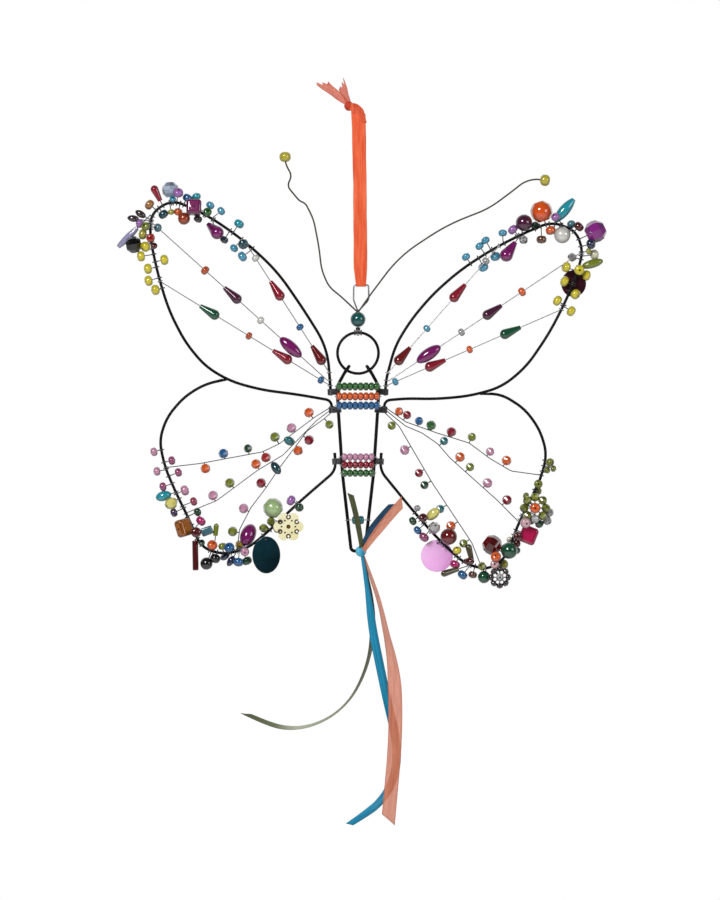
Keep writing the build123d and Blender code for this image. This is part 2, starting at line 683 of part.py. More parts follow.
# Edge beads: place, form, colour group and the side of the wing plane
EDGE_BEADS_PX = {
    -1: [
        (170.3, 189.8, "large crystal", "blue", EITHER), (194.5, 208.0, "cube", "violet", FRONT),
        (133.7, 244.7, "large crystal", "dark", EITHER), (184.0, 218.5, "pearl", "orange", FRONT),
        (184.3, 527.4, "nugget", "orange", EITHER), (273.0, 508.0, "stone", "green", FRONT),
        (248.0, 535.0, "edge oval", "violet", EITHER), (214.8, 230.4, "edge drop", "violet", FRONT),
        (156.5, 193.3, "leaf drop", "red", EITHER), (149.5, 204.7, "seed", "orange", EITHER),
        (178.6, 193.3, "seed", "violet", FRONT), (173.0, 199.5, "tiny seed", "blue", FRONT),
        (187.6, 198.2, "seed", "blue", EITHER), (196.5, 196.5, "small seed", "blue", BACK),
        (198.0, 219.0, "small seed", "dark", BACK), (178.0, 211.6, "small seed", "orange", BACK),
        (171.3, 212.0, "tiny seed", "yellow", FRONT), (163.4, 214.3, "seed", "blue", FRONT),
        (157.5, 227.4, "small seed", "blue", BACK), (210.3, 205.3, "small seed", "blue", EITHER),
        (207.7, 212.3, "small seed", "green", FRONT), (221.2, 211.0, "small seed", "blue", EITHER),
        (224.2, 239.7, "small seed", "blue", EITHER), (234.1, 248.2, "small seed", "blue", EITHER),
        (239.0, 223.8, "seed", "blue", EITHER), (243.5, 244.5, "seed", "blue", FRONT),
        (242.4, 256.5, "seed", "blue", FRONT), (133.2, 218.5, "chip", "dark", EITHER),
        (140.6, 214.0, "chip", "dark", BACK), (139.7, 223.8, "small seed", "violet", EITHER),
        (146.0, 226.9, "small seed", "green", FRONT), (142.8, 234.3, "seed", "yellow", FRONT),
        (127.5, 237.1, "leaf", "violet", BACK), (151.0, 238.3, "small seed", "red", FRONT),
        (154.5, 246.0, "tiny seed", "red", FRONT), (145.4, 247.0, "seed", "yellow", FRONT),
        (141.1, 256.3, "seed", "yellow", EITHER), (164.4, 259.8, "seed", "yellow", EITHER),
        (148.0, 268.7, "seed", "yellow", EITHER), (148.6, 280.8, "seed", "yellow", EITHER),
        (155.5, 290.0, "seed", "yellow", EITHER),
        (154.0, 451.8, "small seed", "violet", EITHER), (157.0, 471.3, "small seed", "violet", EITHER),
        (184.8, 490.4, "seed", "violet", EITHER), (171.8, 460.5, "small seed", "violet", EITHER),
        (178.4, 472.4, "small seed", "violet", BACK), (163.0, 486.6, "small seed", "violet", EITHER),
        (193.7, 501.4, "small seed", "red", FRONT), (163.5, 496.0, "barrel", "blue", EITHER),
        (171.4, 503.3, "crystal", "yellow", EITHER), (174.0, 512.6, "small seed", "violet", EITHER),
        (197.3, 512.0, "small seed", "green", BACK), (200.9, 521.0, "seed", "red", EITHER),
        (196.8, 532.0, "seed", "red", FRONT), (207.0, 531.0, "small cube", "blue", EITHER),
        (216.0, 529.6, "short dagger", "green", BACK), (195.4, 555.4, "stick", "red", EITHER),
        (201.9, 542.6, "tiny seed", "green", FRONT), (212.5, 545.0, "seed", "orange", FRONT),
        (206.5, 563.5, "pearl", "dark", EITHER), (215.3, 558.4, "seed", "dark", FRONT),
        (222.6, 546.3, "small seed", "green", FRONT), (229.4, 547.3, "seed", "blue", FRONT),
        (224.5, 556.8, "chip", "blue", BACK), (230.9, 561.0, "chip", "dark", FRONT),
        (238.5, 562.0, "seed", "blue", EITHER), (239.0, 545.0, "small crystal", "yellow", BACK),
        (245.3, 551.5, "small seed", "violet", FRONT), (246.9, 560.8, "seed", "green", BACK),
        (291.0, 500.4, "seed", "violet", EITHER), (299.5, 507.3, "small seed", "green", EITHER),
        (271.0, 521.5, "small crystal", "green", BACK), (277.4, 528.7, "small crystal", "green", BACK),
        (263.8, 528.0, "small crystal", "green", FRONT),
    ],
    1: [
        (541.4, 211.6, "giant crystal", "orange", EITHER), (595.4, 231.4, "giant crystal", "violet", EITHER),
        (523.9, 222.9, "large pearl", "violet", EITHER), (562.0, 235.2, "large pearl", "crystal", FRONT),
        (492.2, 545.0, "stone", "red", FRONT), (508.6, 550.2, "large pearl", "green", FRONT),
        (448.6, 536.4, "large pearl", "red", FRONT), (528.5, 535.0, "nugget", "red", EITHER),
        (564.3, 210.4, "spindle", "blue", EITHER), (508.8, 251.6, "edge drop", "violet", EITHER),
        (466.0, 256.9, "small seed", "blue", EITHER), (485.5, 240.3, "small seed", "blue", EITHER),
        (479.5, 246.1, "small seed", "blue", BACK), (495.5, 256.2, "seed", "blue", EITHER),
        (483.5, 266.9, "seed", "blue", EITHER), (502.7, 233.0, "small seed", "blue", EITHER),
        (512.8, 229.6, "seed", "violet", EITHER), (535.5, 225.5, "small seed", "green", BACK),
        (523.3, 240.0, "small crystal", "crystal", EITHER), (541.5, 239.5, "seed", "orange", EITHER),
        (550.6, 230.6, "seed", "orange", FRONT), (555.0, 217.5, "small seed", "violet", EITHER),
        (571.5, 224.0, "small seed", "blue", BACK), (578.8, 226.6, "seed", "red", FRONT),
        (590.6, 244.3, "seed", "blue", EITHER), (588.7, 251.2, "tiny seed", "yellow", FRONT),
        (594.6, 254.4, "seed", "crystal", BACK), (592.4, 263.7, "long oval", "green", EITHER),
        (571.8, 257.5, "small crystal", "crystal", FRONT), (565.9, 267.3, "seed", "yellow", EITHER),
        (578.8, 270.4, "seed", "yellow", FRONT), (586.5, 275.4, "seed", "yellow", EITHER),
        (564.5, 281.3, "seed", "yellow", FRONT), (575.4, 294.4, "seed", "yellow", FRONT),
        (557.4, 300.7, "seed", "yellow", EITHER), (571.2, 311.2, "seed", "yellow", EITHER),
        (417.3, 508.0, "tiny seed", "crystal", FRONT), (412.8, 521.0, "small seed", "green", EITHER),
        (423.0, 517.6, "small seed", "red", FRONT), (432.9, 514.0, "barrel", "yellow", EITHER),
        (417.6, 530.2, "small seed", "blue", EITHER), (424.0, 537.2, "seed", "violet", FRONT),
        (434.0, 527.7, "crystal", "crystal", FRONT), (457.0, 550.2, "small seed", "yellow", FRONT),
        (455.0, 564.5, "seed", "red", FRONT), (470.0, 553.2, "dagger", "green", FRONT),
        (469.0, 561.0, "chip", "red", FRONT), (449.5, 571.5, "dagger", "green", FRONT),
        (462.5, 574.8, "seed", "blue", EITHER), (472.7, 574.7, "small seed", "orange", EITHER),
        (484.0, 577.0, "pearl", "green", FRONT), (481.9, 566.0, "small crystal", "green", FRONT),
        (494.3, 564.0, "small seed", "violet", FRONT), (503.4, 564.5, "seed", "yellow", BACK),
        (495.3, 556.3, "seed", "orange", FRONT), (510.0, 540.0, "tiny seed", "crystal", BACK),
        (517.2, 535.9, "small seed", "red", FRONT), (516.7, 543.5, "small seed", "red", BACK),
        (517.5, 550.7, "tiny seed", "green", BACK), (524.9, 522.7, "seed", "violet", FRONT),
        (539.2, 523.6, "small crystal", "green", BACK), (549.3, 512.4, "small crystal", "crystal", BACK),
        (547.3, 520.6, "small crystal", "crystal", BACK), (531.0, 520.6, "small crystal", "crystal", BACK),
        (537.6, 491.0, "small seed", "green", EITHER), (525.9, 495.6, "tiny seed", "green", EITHER),
        (538.0, 483.9, "small seed", "green", FRONT), (549.8, 462.5, "small seed", "green", FRONT),
        (553.4, 468.6, "tiny seed", "green", BACK), (546.8, 470.1, "tiny seed", "green", FRONT),
    ],
}

# Bead flowers on the right lower wing: centre, count and spread of the petals
FLOWERS_PX = [
    {"centre": (534.6, 507.9), "side": FRONT, "petals": "small crystal", "petal_colour": "green",
     "heart": "seed", "heart_colour": "orange"},
    {"centre": (499.4, 577.0), "side": FRONT, "petals": "tiny seed", "petal_colour": "dark",
     "heart": "small crystal", "heart_colour": "crystal"},
]
PETAL_COUNT = 8
FLOWER_DEPTH = 3.4
HEART_LIFT = 2.4
PETAL_GAP = 0.2

# Plates: centre, size, hole, depth and thickness
PLATE_THICKNESS = 1.2
PLATE_RIM_SHARE = 0.4
PIN_HEAD = 1.1
SWING_LIMIT = 20.0
TEAL_DISC_PX = {"centre": (266.5, 554.7), "size": (28.0, 37.0), "hole": (266.5, 539.3)}
PINK_DISC_PX = {"centre": (437.0, 556.0), "size": (32.0, 32.0), "hole": (437.4, 543.3)}
PLUM_DISC_PX = {"centre": (574.0, 283.3), "size": (25.0, 27.0), "hole": (572.8, 282.5)}
FLOWER_PLATE_PX = {"centre": (288.6, 526.5), "size": (30.0, 30.0), "hole": (281.6, 521.0)}
TEAL_DEPTH = -3.2
PINK_DEPTH = 3.0
PLUM_DEPTH = 2.6
FLOWER_PLATE_DEPTH = -3.0
SCALLOPS = 6
SCALLOP_SHARE = 0.36
DOT_SHARE = 0.07


def drilled(plate, hole):
    """Plate with a hole that runs on a pin."""
    cutter = Plane(origin=hole, z_dir=(0, 1, 0)) * Cylinder(PIN_BORE / 2, 2 * PLATE_THICKNESS)
    return (plate - cutter).solid()


def oval_plate(data, depth):
    size = [side * MM_PER_PX for side in data["size"]]
    centre = place(*data["centre"], depth)
    face = Plane(origin=centre, x_dir=(1, 0, 0), z_dir=(0, 1, 0)) * Ellipse(size[0] / 2, size[1] / 2)
    plate = extrude(face, PLATE_THICKNESS / 2, both=True)
    plate = fillet(plate.edges().filter_by(lambda edge: edge.length > PLATE_THICKNESS * math.pi),
                   PLATE_RIM_SHARE * PLATE_THICKNESS)
    return drilled(plate, place(*data["hole"], depth))


def flower_plate(data, depth):
    radius = data["size"][0] * MM_PER_PX / 2
    lobe = SCALLOP_SHARE * radius
    face = Circle(radius - lobe)
    face = face + PolarLocations(radius - lobe, SCALLOPS) * Circle(lobe)
    face = face - PolarLocations(radius - lobe, SCALLOPS, start_angle=180 / SCALLOPS) * Circle(DOT_SHARE * radius)
    centre = place(*data["centre"], depth)
    plane = Plane(origin=centre, x_dir=(1, 0, 0), z_dir=(0, 1, 0))
    plate = extrude(plane * face, PLATE_THICKNESS / 2, both=True)
    return drilled(plate, place(*data["hole"], depth))


def plate_balls(data, depth, swing):
    """Balls over a plate, and over the places it swings to."""
    half = [side * MM_PER_PX / 2 for side in data["size"]]
    centre = place(*data["centre"], depth)
    hole = place(*data["hole"], depth)
    balls = []
    grid = int(2 * half[1] / PLATE_THICKNESS)
    for row in range(-grid, grid + 1):
        for column in range(-grid, grid + 1):
            shift = Vector(column * PLATE_THICKNESS, 0, row * PLATE_THICKNESS) / 2
            if (shift.X / half[0]) ** 2 + (shift.Z / half[1]) ** 2 > 1:
                continue
            for turn in (-swing, 0, swing):
                spot = hole + (centre + shift - hole).rotate(Axis.Y, turn)
                balls.append((spot, PLATE_THICKNESS / 2))
    return balls


def plate_pin(slot, hole, depth):
    """Pin from the wing wire to a plate's hole, then straight through it to a round head."""
    spot, heading = slot
    side = math.copysign(1, depth)
    reach = (FRAME_WIRE + PIN_WIRE) / 2 + SEAT_GAP
    elbow = Vector(hole.X, depth - side * PLATE_THICKNESS, hole.Z)
    end = Vector(hole.X, depth + side * (PLATE_THICKNESS / 2 + PIN_HEAD / 2 + RUN_GAP), hole.Z)
    start = spot + square_to(elbow - spot, heading) * reach
    pin = eye(spot, heading, FRAME_WIRE, PIN_WIRE, SEAT_GAP) + rod(start, elbow, PIN_WIRE)
    pin = pin + Location(elbow) * Sphere(PIN_WIRE / 2) + rod(elbow, end, PIN_WIRE)
    pin = pin + Location(end) * Sphere(PIN_HEAD / 2)
    balls = balls_along(start, elbow, PIN_WIRE / 2) + [(end, PIN_HEAD / 2)]
    balls += ring_balls(spot, heading, FRAME_WIRE, PIN_WIRE)
    return pin.solid(), balls


def side_line(hand):
    """Shoulder and waist points of the straight side of the body wire that a wing turns on."""
    ends = []
    for spot in (SHOULDER_PX, WAIST_PX):
        ends.append(place(AXIS_PX + hand * (AXIS_PX - spot[0]), spot[1]))
    return ends


def side_spot(hand, level_px, offset=0):
    """Place beside the body wire at a height, offset outwards."""
    shoulder, waist = side_line(hand)
    run = waist - shoulder
    spot = shoulder + run * ((place(AXIS_PX, level_px).Z - shoulder.Z) / run.Z)
    outward = run.cross(Vector(0, 1, 0)).normalized()
    if outward.X * hand < 0:
        outward = -outward
    return spot + outward * offset


def take_slot(slots, target):
    """Nearest free place on the wing wires, which is then taken."""
    best = min(range(len(slots)), key=lambda index: (slots[index][0] - target).length)
    return slots.pop(best)


PARTS = {
    "hanger_ribbon": [hanger_ribbon], "hanger_knot": [hanger_knot], "hanger_ends": hanger_ends,
    "hanging_eye": [hanging_eye], "head_pearl": [head_pearl], "antenna_wire": [antenna_wire],
    "antenna_tip_beads": antenna_tip_beads, "head_ring": [head_ring], "body_frame": [body_frame],
    "cross_wires": cross_wires, **row_beads,
}
AXES = {}

for hand, wing in ((-1, "left"), (1, "right")):
    foot = {level: side_spot(hand, level, FOOT_OFFSET) for level in
            UPPER_FOOT_PX + MIDDLE_FOOT_PX + LOWER_FOOT_PX}
    upper_points = [foot[level] for level in UPPER_FOOT_PX]
    upper_points += [place(*spot) for spot in UPPER_WING_PX[hand]]
    upper_points += [foot[level] for level in MIDDLE_FOOT_PX]
    upper_path = rounded(upper_points)
    upper_frame = wire_along(upper_path, FRAME_WIRE)
    upper_slots = stations(upper_path, SLOT_PITCH)
    lower_points = [place(*spot) for spot in LOWER_WING_PX[hand]]
    lower_points[0] = min(upper_slots, key=lambda slot: (slot[0] - lower_points[0]).length)[0]
    lower_points += [foot[level] for level in LOWER_FOOT_PX]
    lower_path = rounded(lower_points)
    lower_frame = wire_along(lower_path, FRAME_WIRE) - upper_frame
    lower_frame = lower_frame.solids().sort_by(SortBy.VOLUME)[-1]
    slots = upper_slots + stations(lower_path, SLOT_PITCH)

    frame_crowd = Crowd()
    for spot, heading in slots:
        frame_crowd.add([(spot, FRAME_WIRE / 2)])
    crowd = Crowd()

    # Tie rings round the body wire and the wing feet
    shoulder, waist = side_line(hand)
    ties = []
    tie_radius = (FRAME_WIRE + TIE_WIRE) / 2 + RUN_GAP
    for level in TIES_PX:
        middle = side_spot(hand, level, FOOT_OFFSET / 2)
        across = side_spot(hand, level, FOOT_OFFSET) - side_spot(hand, level)
        plane = Plane(origin=middle, x_dir=across, z_dir=waist - shoulder)
        outline = (plane * SlotCenterToCenter(FOOT_OFFSET, 2 * tie_radius)).face().outer_wire()
        ties.append(wire_along(outline, TIE_WIRE))

    # Upper strings and their turning beads
    string_reach = (FRAME_WIRE + STRING_WIRE) / 2 + SEAT_GAP
    upper_strings = []
    for index, end_px in enumerate(UPPER_ENDS_PX[hand]):
        layer = (index - 1) * STRING_LAYER
        root, root_heading = take_slot(slots, side_spot(hand, UPPER_ROOTS_PX[index], FOOT_OFFSET))
        spot, heading = take_slot(slots, place(*end_px))
        start = root + Vector(0, layer, 0)
        end = spot + Vector(0, layer, 0)
        run = (end - start).normalized()
        if layer == 0:
            start = start + square_to(run, root_heading) * string_reach
            end = end - square_to(run, heading) * string_reach
            run = (end - start).normalized()
        string = rod(start, end, STRING_WIRE)
        string = string + eye(root, root_heading, FRAME_WIRE, STRING_WIRE, SEAT_GAP)
        string = string + eye(spot, heading, FRAME_WIRE, STRING_WIRE, SEAT_GAP)
        upper_strings.append(string.solid())
        crowd.add(balls_along(start, end, STRING_WIRE / 2))
        beads = []
        for share, form in UPPER_BEAD_SHARES[index]:
            centre = start + (end - start) * share
            beads.append(set_bead(form, centre, -run))
            crowd.add(bead_balls(form, centre, -run))
        name = wing + "_string_" + "abc"[index] + "_beads"
        PARTS[name] = beads
        AXES[name] = (start, run)

    groups = {}
    pins = []

    # Hanging and fixed plates with their pins
    if hand < 0:
        plates = [("left_teal_disc", oval_plate, TEAL_DISC_PX, TEAL_DEPTH, SWING_LIMIT),
                  ("left_cream_flower", flower_plate, FLOWER_PLATE_PX, FLOWER_PLATE_DEPTH, 0)]
    else:
        plates = [("right_pink_disc", oval_plate, PINK_DISC_PX, PINK_DEPTH, SWING_LIMIT),
                  ("right_plum_disc", oval_plate, PLUM_DISC_PX, PLUM_DEPTH, 0)]
    for name, maker, data, depth, swing in plates:
        PARTS[name] = [maker(data, depth)]
        hole = place(*data["hole"], depth)
        AXES[name] = (hole, Vector(0, 1, 0))
        pin, balls = plate_pin(take_slot(slots, place(*data["hole"])), hole, depth)
        pins.append(pin)
        crowd.add(plate_balls(data, depth, swing) + balls)

    # Bead flowers on spokes
    if hand > 0:
        for data in FLOWERS_PX:
            spot, heading = take_slot(slots, place(*data["centre"]))
            hub = place(*data["centre"], data["side"] * FLOWER_DEPTH)
            diameter, length = BEADS[data["petals"]][1:]
            spread = (diameter + PETAL_GAP) / (2 * math.sin(math.pi / PETAL_COUNT))
            reach = (FRAME_WIRE + PIN_WIRE) / 2 + SEAT_GAP
            start = spot + square_to(hub - spot, heading) * reach
            pin = eye(spot, heading, FRAME_WIRE, PIN_WIRE, SEAT_GAP)
            pin = pin + rod(start, hub, PIN_WIRE) + Location(hub) * Sphere(PIN_WIRE)
            for index in range(PETAL_COUNT):
                ray = Vector(1, 0, 0).rotate(Axis.Y, 360 * index / PETAL_COUNT)
                tip = hub + ray * (spread + length / 2 + PIN_STUB)
                pin = pin + rod(hub, tip, PIN_WIRE)
                groups.setdefault(data["petal_colour"], []).append(
                    set_bead(data["petals"], hub + ray * spread, ray))
                crowd.add(bead_balls(data["petals"], hub + ray * spread, ray))
            front = Vector(0, data["side"], 0)
            heart = hub + front * HEART_LIFT
            heart_length = BEADS[data["heart"]][2]
            pin = pin + rod(hub, heart + front * (heart_length / 2 + PIN_STUB), PIN_WIRE)
            groups.setdefault(data["heart_colour"], []).append(set_bead(data["heart"], heart, front))
            crowd.add(bead_balls(data["heart"], heart, front))
            crowd.add(balls_along(start, hub, PIN_WIRE / 2))
            pins.append(pin.solid())

    # Lower strings with beads on twigs
    lower_strings = []
    strings = []
    for index, route_px in enumerate(LOWER_STRINGS_PX[hand]):
        layer = Vector(0, (index - 1) * STRING_LAYER, 0)
        root = side_spot(hand, LOWER_ROOTS_PX[index], FOOT_OFFSET)
        spot, heading = take_slot(slots, place(*route_px[-1]))
        route = [root + layer] + [place(*px) + layer for px in route_px[:-1]] + [spot + layer]
        if index == 1:
            route[0] = route[0] + square_to(route[1] - route[0], waist - shoulder) * string_reach
            route[-1] = route[-1] + square_to(route[-2] - route[-1], heading) * string_reach
        path = rounded(route, KINK_REACH)
        string = wire_along(path, STRING_WIRE)
        string = string + eye(root, waist - shoulder, FRAME_WIRE, STRING_WIRE, SEAT_GAP)
        string = string + eye(spot, heading, FRAME_WIRE, STRING_WIRE, SEAT_GAP)
        places = stations(path, STRING_WIRE)
        for spot, heading in places:
            crowd.add([(spot, STRING_WIRE / 2)])
        strings.append((string, places, layer))
    for index, (string, places, layer) in enumerate(strings):
        for x, y, form, colour in TWIG_BEADS_PX[hand][index]:
            target = place(x, y) + layer
            hung = hang_bead(crowd, frame_crowd, places, 0, target, form, EITHER)
            if hung is None:
                continue
            bead, start, far, spot, heading = hung
            groups.setdefault(colour, []).append(bead)
            string = string + rod(start, far, TWIG_WIRE)
        lower_strings.append(string.solid())

    # Edge beads on pins
    for x, y, form, colour, side in EDGE_BEADS_PX[hand]:
        target = place(x, y)
        reach = (FRAME_WIRE + PIN_WIRE) / 2 + SEAT_GAP
        hung = hang_bead(crowd, frame_crowd, slots, reach, target, form, side)
        if hung is None:
            continue
        bead, start, far, spot, heading = hung
        groups.setdefault(colour, []).append(bead)
        pin = eye(spot, heading, FRAME_WIRE, PIN_WIRE, SEAT_GAP) + rod(start, far, PIN_STEM)
        pins.append(pin.solids().sort_by(SortBy.VOLUME)[-1])

    PARTS[wing + "_upper_frame"] = [upper_frame]
    PARTS[wing + "_lower_frame"] = [lower_frame]
    PARTS[wing + "_tie_rings"] = ties
    PARTS[wing + "_upper_strings"] = upper_strings
    PARTS[wing + "_lower_strings"] = lower_strings
    PARTS[wing + "_bead_pins"] = pins
    for colour, beads in groups.items():
        PARTS[wing + "_" + colour + "_beads"] = beads

# Ribbons at the tail: a knot on the bottom of the body wire, three short ends and three long tails
TAIL_KNOT_PX = (361.0, 551.0)
TAIL_KNOT_DIAMETER = 4.6
TAIL_KNOT_LENGTH = 4.0
BLUE_TAIL_PX = [(362.6, 558.3), (366, 580), (369.6, 605), (373, 632), (379.5, 664), (387, 700), (395, 733),
                (397.5, 757), (393.5, 782), (380, 803), (364, 815), (349.4, 824.4)]
BLUE_DEPTHS = (-0.7, -0.9, -0.7, -0.3, 0.2, 0.8, 1.2, 1.3, 1.2, 0.9, 0.5, 0)
BLUE_WIDTHS = (1.6, 3.0, 3.6, 3.6, 3.6, 3.6, 3.6, 3.6, 3.6, 3.4, 3.2, 2.0)
BLUE_TWISTS = (0, 0, 10, 10, 0, 0, 0, 0, 10, 20, 10, 0)
PEACH_TAIL_PX = [(365, 559.5), (372, 580), (380, 603), (386.5, 633), (392.5, 660), (395, 688), (395.6, 720),
                 (394.3, 752), (391.5, 785), (388.3, 819.5)]
PEACH_DEPTHS = (0.7, 0.7, 0.2, -0.5, -1.1, -1.5, -1.6, -1.6, -1.5, -1.4)
PEACH_WIDTHS = (1.6, 2.6, 3.6, 5.0, 5.6, 5.8, 5.8, 5.8, 5.8, 5.8)
PEACH_TWISTS = (40, 55, 60, 45, 20, 0, 0, 0, 8, 10)
GREEN_TAIL_PX = [(364, 561), (367.5, 584), (371, 607), (373, 631), (370.3, 655), (363, 678), (351.5, 699),
                 (335, 715), (314, 725.5), (292, 729), (270, 725), (246, 713.7)]
GREEN_DEPTHS = (1.9, 2.4, 2.9, 3.2, 3.1, 2.6, 2.0, 1.2, 0.6, 0, -0.4, -0.6)
GREEN_WIDTHS = (1.6, 3.0, 3.8, 4.0, 4.0, 4.0, 4.0, 4.0, 4.0, 4.0, 4.0, 4.0)
GREEN_TWISTS = (10, 20, 40, 65, 75, 80, 80, 80, 80, 75, 65, 35)
OLIVE_END_PX = [(362, 550), (358.5, 522), (350.6, 494)]
NAVY_END_PX = [(361, 552), (369, 528), (392.7, 504)]
PEACH_END_PX = [(362, 553), (378, 528), (402, 502)]
OLIVE_END_WIDTH = 2.5
NAVY_END_WIDTH = 3.4
PEACH_END_WIDTH = 3.8
OLIVE_LAYERS = (-1.6, -3.2)
NAVY_LAYERS = (-0.9, -3.4)
PEACH_LAYERS = (-1.7, -8.5)

knot_spot = place(*TAIL_KNOT_PX)
whole_knot = Location(knot_spot) * pebble(TAIL_KNOT_DIAMETER, TAIL_KNOT_LENGTH)
ribbon_knot = (whole_knot - body_frame).solids().sort_by(SortBy.VOLUME)[-1]
short_ends = [
    flat_end(OLIVE_END_PX, OLIVE_END_WIDTH, *OLIVE_LAYERS, whole_knot),
    flat_end(NAVY_END_PX, NAVY_END_WIDTH, *NAVY_LAYERS, whole_knot),
    flat_end(PEACH_END_PX, PEACH_END_WIDTH, *PEACH_LAYERS, whole_knot),
]
PARTS["ribbon_knot"] = [ribbon_knot]
PARTS["ribbon_short_ends"] = short_ends
for name, route_px, layers, widths, twists in (
        ("blue_ribbon", BLUE_TAIL_PX, BLUE_DEPTHS, BLUE_WIDTHS, BLUE_TWISTS),
        ("peach_ribbon", PEACH_TAIL_PX, PEACH_DEPTHS, PEACH_WIDTHS, PEACH_TWISTS),
        ("green_ribbon", GREEN_TAIL_PX, GREEN_DEPTHS, GREEN_WIDTHS, GREEN_TWISTS)):
    route = [place(*spot, depth) for spot, depth in zip(route_px, layers)]
    strip, path = ribbon(route, widths, twists)
    PARTS[name] = [strip]
    mean = sum(widths) / len(widths)
    least = min(edge.radius for edge in path.edges().filter_by(GeomType.CIRCLE))
    print(name, "length", round(path.length, 1), "least arc radius", round(least, 1), "volume",
          round(strip.volume, 1), "section x length", round(mean * RIBBON_THICKNESS * path.length, 1))

# Files, one to a node
for name, solids in PARTS.items():
    export_step(Compound(solids), "parts/" + name + ".step")
print(len(PARTS), "nodes", sum(len(solids) for solids in PARTS.values()), "solids")
for name, (spot, direction) in AXES.items():
    print("axis", name, [round(value, 3) for value in spot], [round(value, 4) for value in direction])
for hand in (-1, 1):
    shoulder, waist = side_line(hand)
    print("side", hand, shoulder, waist)
print("eye line", eye_line, "ring top", ring_top, "ring centre", ring_centre)
for name, (depth, level) in row_axes.items():
    print("row", name, round(depth, 3), round(level, 3), len(row_beads[name]))
print("knot", knot_spot, "hook", hook)
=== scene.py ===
import bpy
import bmesh
import math
from mathutils import Matrix, Vector


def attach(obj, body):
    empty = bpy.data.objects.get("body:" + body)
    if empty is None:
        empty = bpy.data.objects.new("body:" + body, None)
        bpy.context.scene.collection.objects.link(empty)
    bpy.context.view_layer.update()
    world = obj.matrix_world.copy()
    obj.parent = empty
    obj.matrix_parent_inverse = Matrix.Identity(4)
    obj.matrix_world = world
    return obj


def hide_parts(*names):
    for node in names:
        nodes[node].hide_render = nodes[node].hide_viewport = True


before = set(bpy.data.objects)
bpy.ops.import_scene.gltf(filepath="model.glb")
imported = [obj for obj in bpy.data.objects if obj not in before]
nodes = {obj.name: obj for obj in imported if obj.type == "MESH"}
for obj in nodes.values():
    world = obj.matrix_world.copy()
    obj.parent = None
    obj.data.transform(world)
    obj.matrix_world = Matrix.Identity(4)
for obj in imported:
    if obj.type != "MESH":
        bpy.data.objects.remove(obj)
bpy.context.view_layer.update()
scene = bpy.context.scene

# The view: the ornament hangs against plain white and is seen straight from the front.
# A long lens a good step away keeps the wire drawing flat. A pixel of that view is a
# fixed length in the plane of the wings, so places can be named by their pixel.
WING_SPAN = 0.182
WING_SPAN_PIXELS = 431.4
PIXEL = WING_SPAN / WING_SPAN_PIXELS
BODY_ACROSS = 358.0
HOOK_DOWN = 110.5
VIEW_WIDTH, VIEW_HEIGHT = 720, 900
FILM_HEIGHT = 36.0
LENS_DISTANCE = 1.6
MILLIMETRE = 0.001


def spot(across, down, depth=0.0):
    """Place in the wing plane under a pixel of the front view, with its depth behind in millimetres."""
    return Vector(((across - BODY_ACROSS) * PIXEL, depth * MILLIMETRE, (HOOK_DOWN - down) * PIXEL))


lens = bpy.data.cameras.new("front_view")
lens.sensor_fit = "VERTICAL"
lens.sensor_height = FILM_HEIGHT
lens.lens = FILM_HEIGHT * LENS_DISTANCE / (VIEW_HEIGHT * PIXEL)
lens.clip_start = 0.05
camera = bpy.data.objects.new("front_view", lens)
scene.collection.objects.link(camera)
camera.location = spot(VIEW_WIDTH / 2, VIEW_HEIGHT / 2) - Vector((0, LENS_DISTANCE, 0))
camera.rotation_euler = (math.radians(90), 0, 0)
scene.camera = camera
scene.view_settings.view_transform = "Standard"

# Light: a white card behind, one large soft lamp up to the left and a weak one to the right.
# Gloss and glass see the white card too, and the darker room on the side of the lens.
BLACK, WHITE = (0, 0, 0, 1), (1, 1, 1, 1)
CARD_LEVEL, CARD_SLOPE, CARD_LEAST = 0.05, 1.3, 0.07
ROOM_LIGHT = 0.44
LAMP_AIM = Vector((0, 0, -0.14))
LAMPS = (("left_lamp", (-0.5, -1.05, 0.42), 0.34, 8.6), ("right_lamp", (0.9, -0.7, 0.1), 0.5, 2.2))


